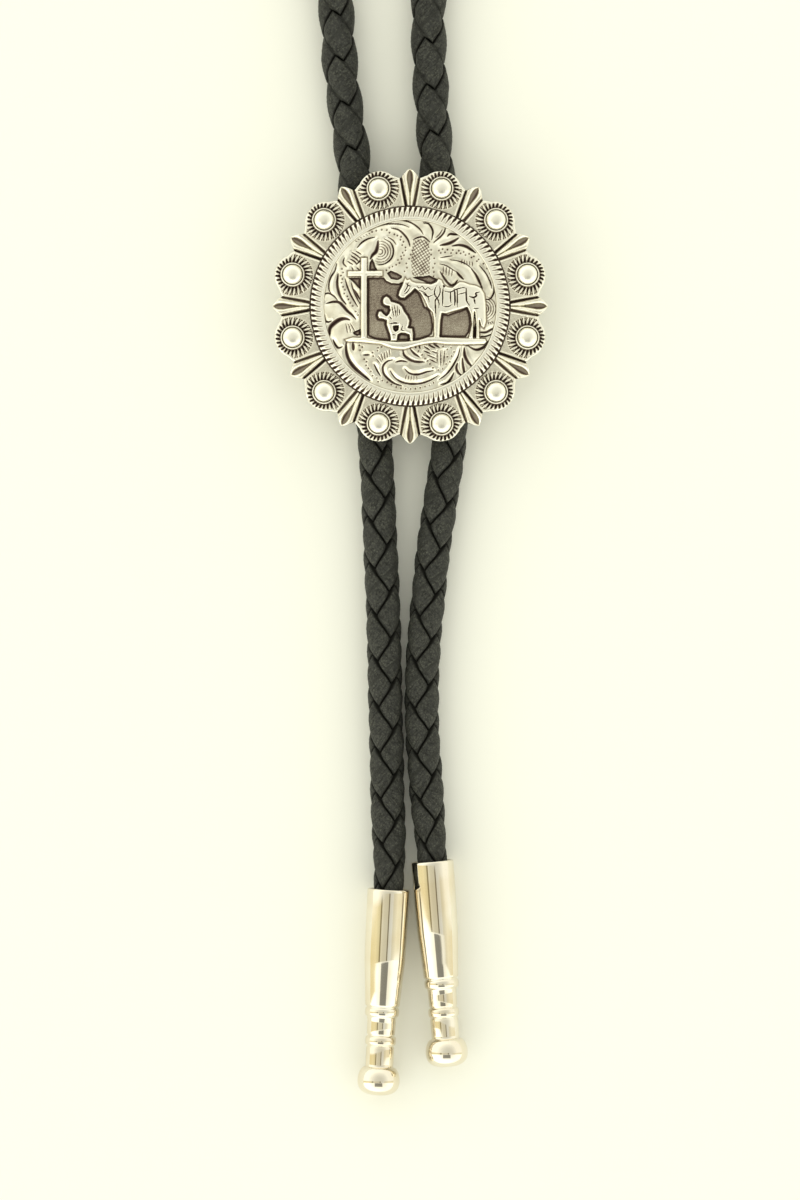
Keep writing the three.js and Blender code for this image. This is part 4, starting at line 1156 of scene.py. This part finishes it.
# Blackening left in patches of 1 mm
smudge = add(
    tree, "ShaderNodeTexNoise", {"Scale": 900.0, "Detail": 4.0, "Roughness": 0.65}, {"Vector": where}
).outputs["Fac"]
uneven = add(
    tree, "ShaderNodeMath", {1: 0.16, 2: -0.08}, {0: smudge}, operation="MULTIPLY_ADD"
).outputs[0]
amount = add(tree, "ShaderNodeMath", links={0: patina, 1: uneven}, operation="ADD").outputs[0]
silver = add(
    tree, "ShaderNodeValToRGB", links={"Fac": amount},
    steps=[(0.0, "#fbf8ea"), (0.16, "#e9e5d3"), (0.40, "#aea493"), (0.70, "#63544b"), (1.0, "#2e211d")],
).outputs["Color"]
rough = add(
    tree, "ShaderNodeMapRange", {"To Min": 0.30, "To Max": 0.62}, {"Value": amount}
).outputs[0]
# Casting grain of 0.15 mm
cast_grain = add(
    tree, "ShaderNodeTexNoise", {"Scale": 6500.0, "Detail": 2.0}, {"Vector": where}
).outputs["Fac"]
bumps = add(
    tree, "ShaderNodeBump", {"Strength": 0.22, "Distance": 0.00003}, {"Height": cast_grain}
).outputs[0]
shader = add(
    tree, "ShaderNodeBsdfPrincipled", {"Metallic": 1.0},
    {"Base Color": silver, "Roughness": rough, "Normal": bumps},
)
add(tree, "ShaderNodeOutputMaterial", links={"Surface": shader.outputs[0]})
for obj in concho_pieces:
    paint(obj, antique)

# Floor: warm white paper
paper = bpy.data.materials.new("warm_white_paper")
tree = new_tree(paper)
shader = add(tree, "ShaderNodeBsdfPrincipled", {"Base Color": linear("#f7f7ee"), "Roughness": 0.9})
add(tree, "ShaderNodeOutputMaterial", links={"Surface": shader.outputs[0]})
paint(floor, paper)

# Studio light: a pale tent, a bright sheet with a grey slot towards the tips, and strips above
world = bpy.data.worlds.new("light_tent")
bpy.context.scene.world = world
tree = new_tree(world)
towards = add(tree, "ShaderNodeTexCoord").outputs["Generated"]
parts = add(tree, "ShaderNodeSeparateXYZ", links={0: towards})
across, down = parts.outputs["X"], parts.outputs["Y"]
sheet = add(
    tree, "ShaderNodeMapRange", {"From Min": -0.145, "From Max": -0.165, "To Min": 1.12, "To Max": 1.5},
    {"Value": down},
).outputs[0]
slot_down = add(
    tree, "ShaderNodeMapRange", {"From Min": -0.60, "From Max": -0.16}, {"Value": down}
).outputs[0]
slot_down = add(
    tree, "ShaderNodeValToRGB", links={"Fac": slot_down},
    steps=[(0.0, "#000000"), (0.15, "#ffffff"), (0.94, "#ffffff"), (0.97, "#000000")],
).outputs["Color"]
slot_across = add(
    tree, "ShaderNodeMapRange", {"From Min": -0.4, "From Max": 0.4}, {"Value": across}
).outputs[0]
slot_across = add(
    tree, "ShaderNodeValToRGB", links={"Fac": slot_across},
    steps=[(0.04, "#000000"), (0.10, "#ffffff"), (0.90, "#ffffff"), (0.96, "#000000")],
).outputs["Color"]
slot = add(tree, "ShaderNodeMath", links={0: slot_down, 1: slot_across}, operation="MULTIPLY").outputs[0]
level = add(
    tree, "ShaderNodeMapRange", {"To Max": 0.42}, {"Value": slot, "To Min": sheet}
).outputs[0]
overhead = add(
    tree, "ShaderNodeMapRange", {"From Min": 0.55, "From Max": 0.97, "To Min": 1.15, "To Max": 0.70},
    {"Value": parts.outputs["Z"]},
).outputs[0]
to_the_left = add(
    tree, "ShaderNodeMapRange", {"From Min": -0.5, "From Max": 0.5, "To Min": 1.1, "To Max": 0.92},
    {"Value": across},
).outputs[0]
shape = add(tree, "ShaderNodeMath", links={0: overhead, 1: to_the_left}, operation="MULTIPLY").outputs[0]
level = add(tree, "ShaderNodeMath", links={0: level, 1: shape}, operation="MULTIPLY").outputs[0]
strips = add(
    tree, "ShaderNodeMapRange", {"From Min": -1.0, "From Max": 1.0}, {"Value": across}
).outputs[0]
strips = add(
    tree, "ShaderNodeValToRGB", links={"Fac": strips},
    steps=[(0.0, "#d8cda4"), (0.19, "#e0d6ae"), (0.225, "#8f8460"), (0.25, "#8f8460"), (0.275, "#f3eed6"),
        (0.54, "#f3eed6"), (0.57, "#8a7f62"), (0.59, "#8a7f62"), (0.62, "#fffff4"), (0.74, "#fffff4"),
        (0.78, "#f3eed6"), (1.0, "#ebe4c6")],
).outputs["Color"]
strips_down = add(
    tree, "ShaderNodeMapRange", {"From Min": -0.16, "From Max": 0.0}, {"Value": down}
).outputs[0]
strips_down = add(
    tree, "ShaderNodeValToRGB", links={"Fac": strips_down},
    steps=[(0.02, "#000000"), (0.10, "#ffffff"), (0.80, "#ffffff"), (1.0, "#000000")],
).outputs["Color"]
colour = add(
    tree, "ShaderNodeMix", {6: linear("#fffff3")}, {0: strips_down, 7: strips}, data_type="RGBA"
).outputs[2]
background = add(tree, "ShaderNodeBackground", links={"Color": colour, "Strength": level})
add(tree, "ShaderNodeOutputWorld", links={"Surface": background.outputs[0]})

bpy.context.scene.view_settings.view_transform = "Standard"

visual_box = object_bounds()
sizes = {"cad": [list(corner) for corner in cad_box], "visual": [list(corner) for corner in visual_box]}
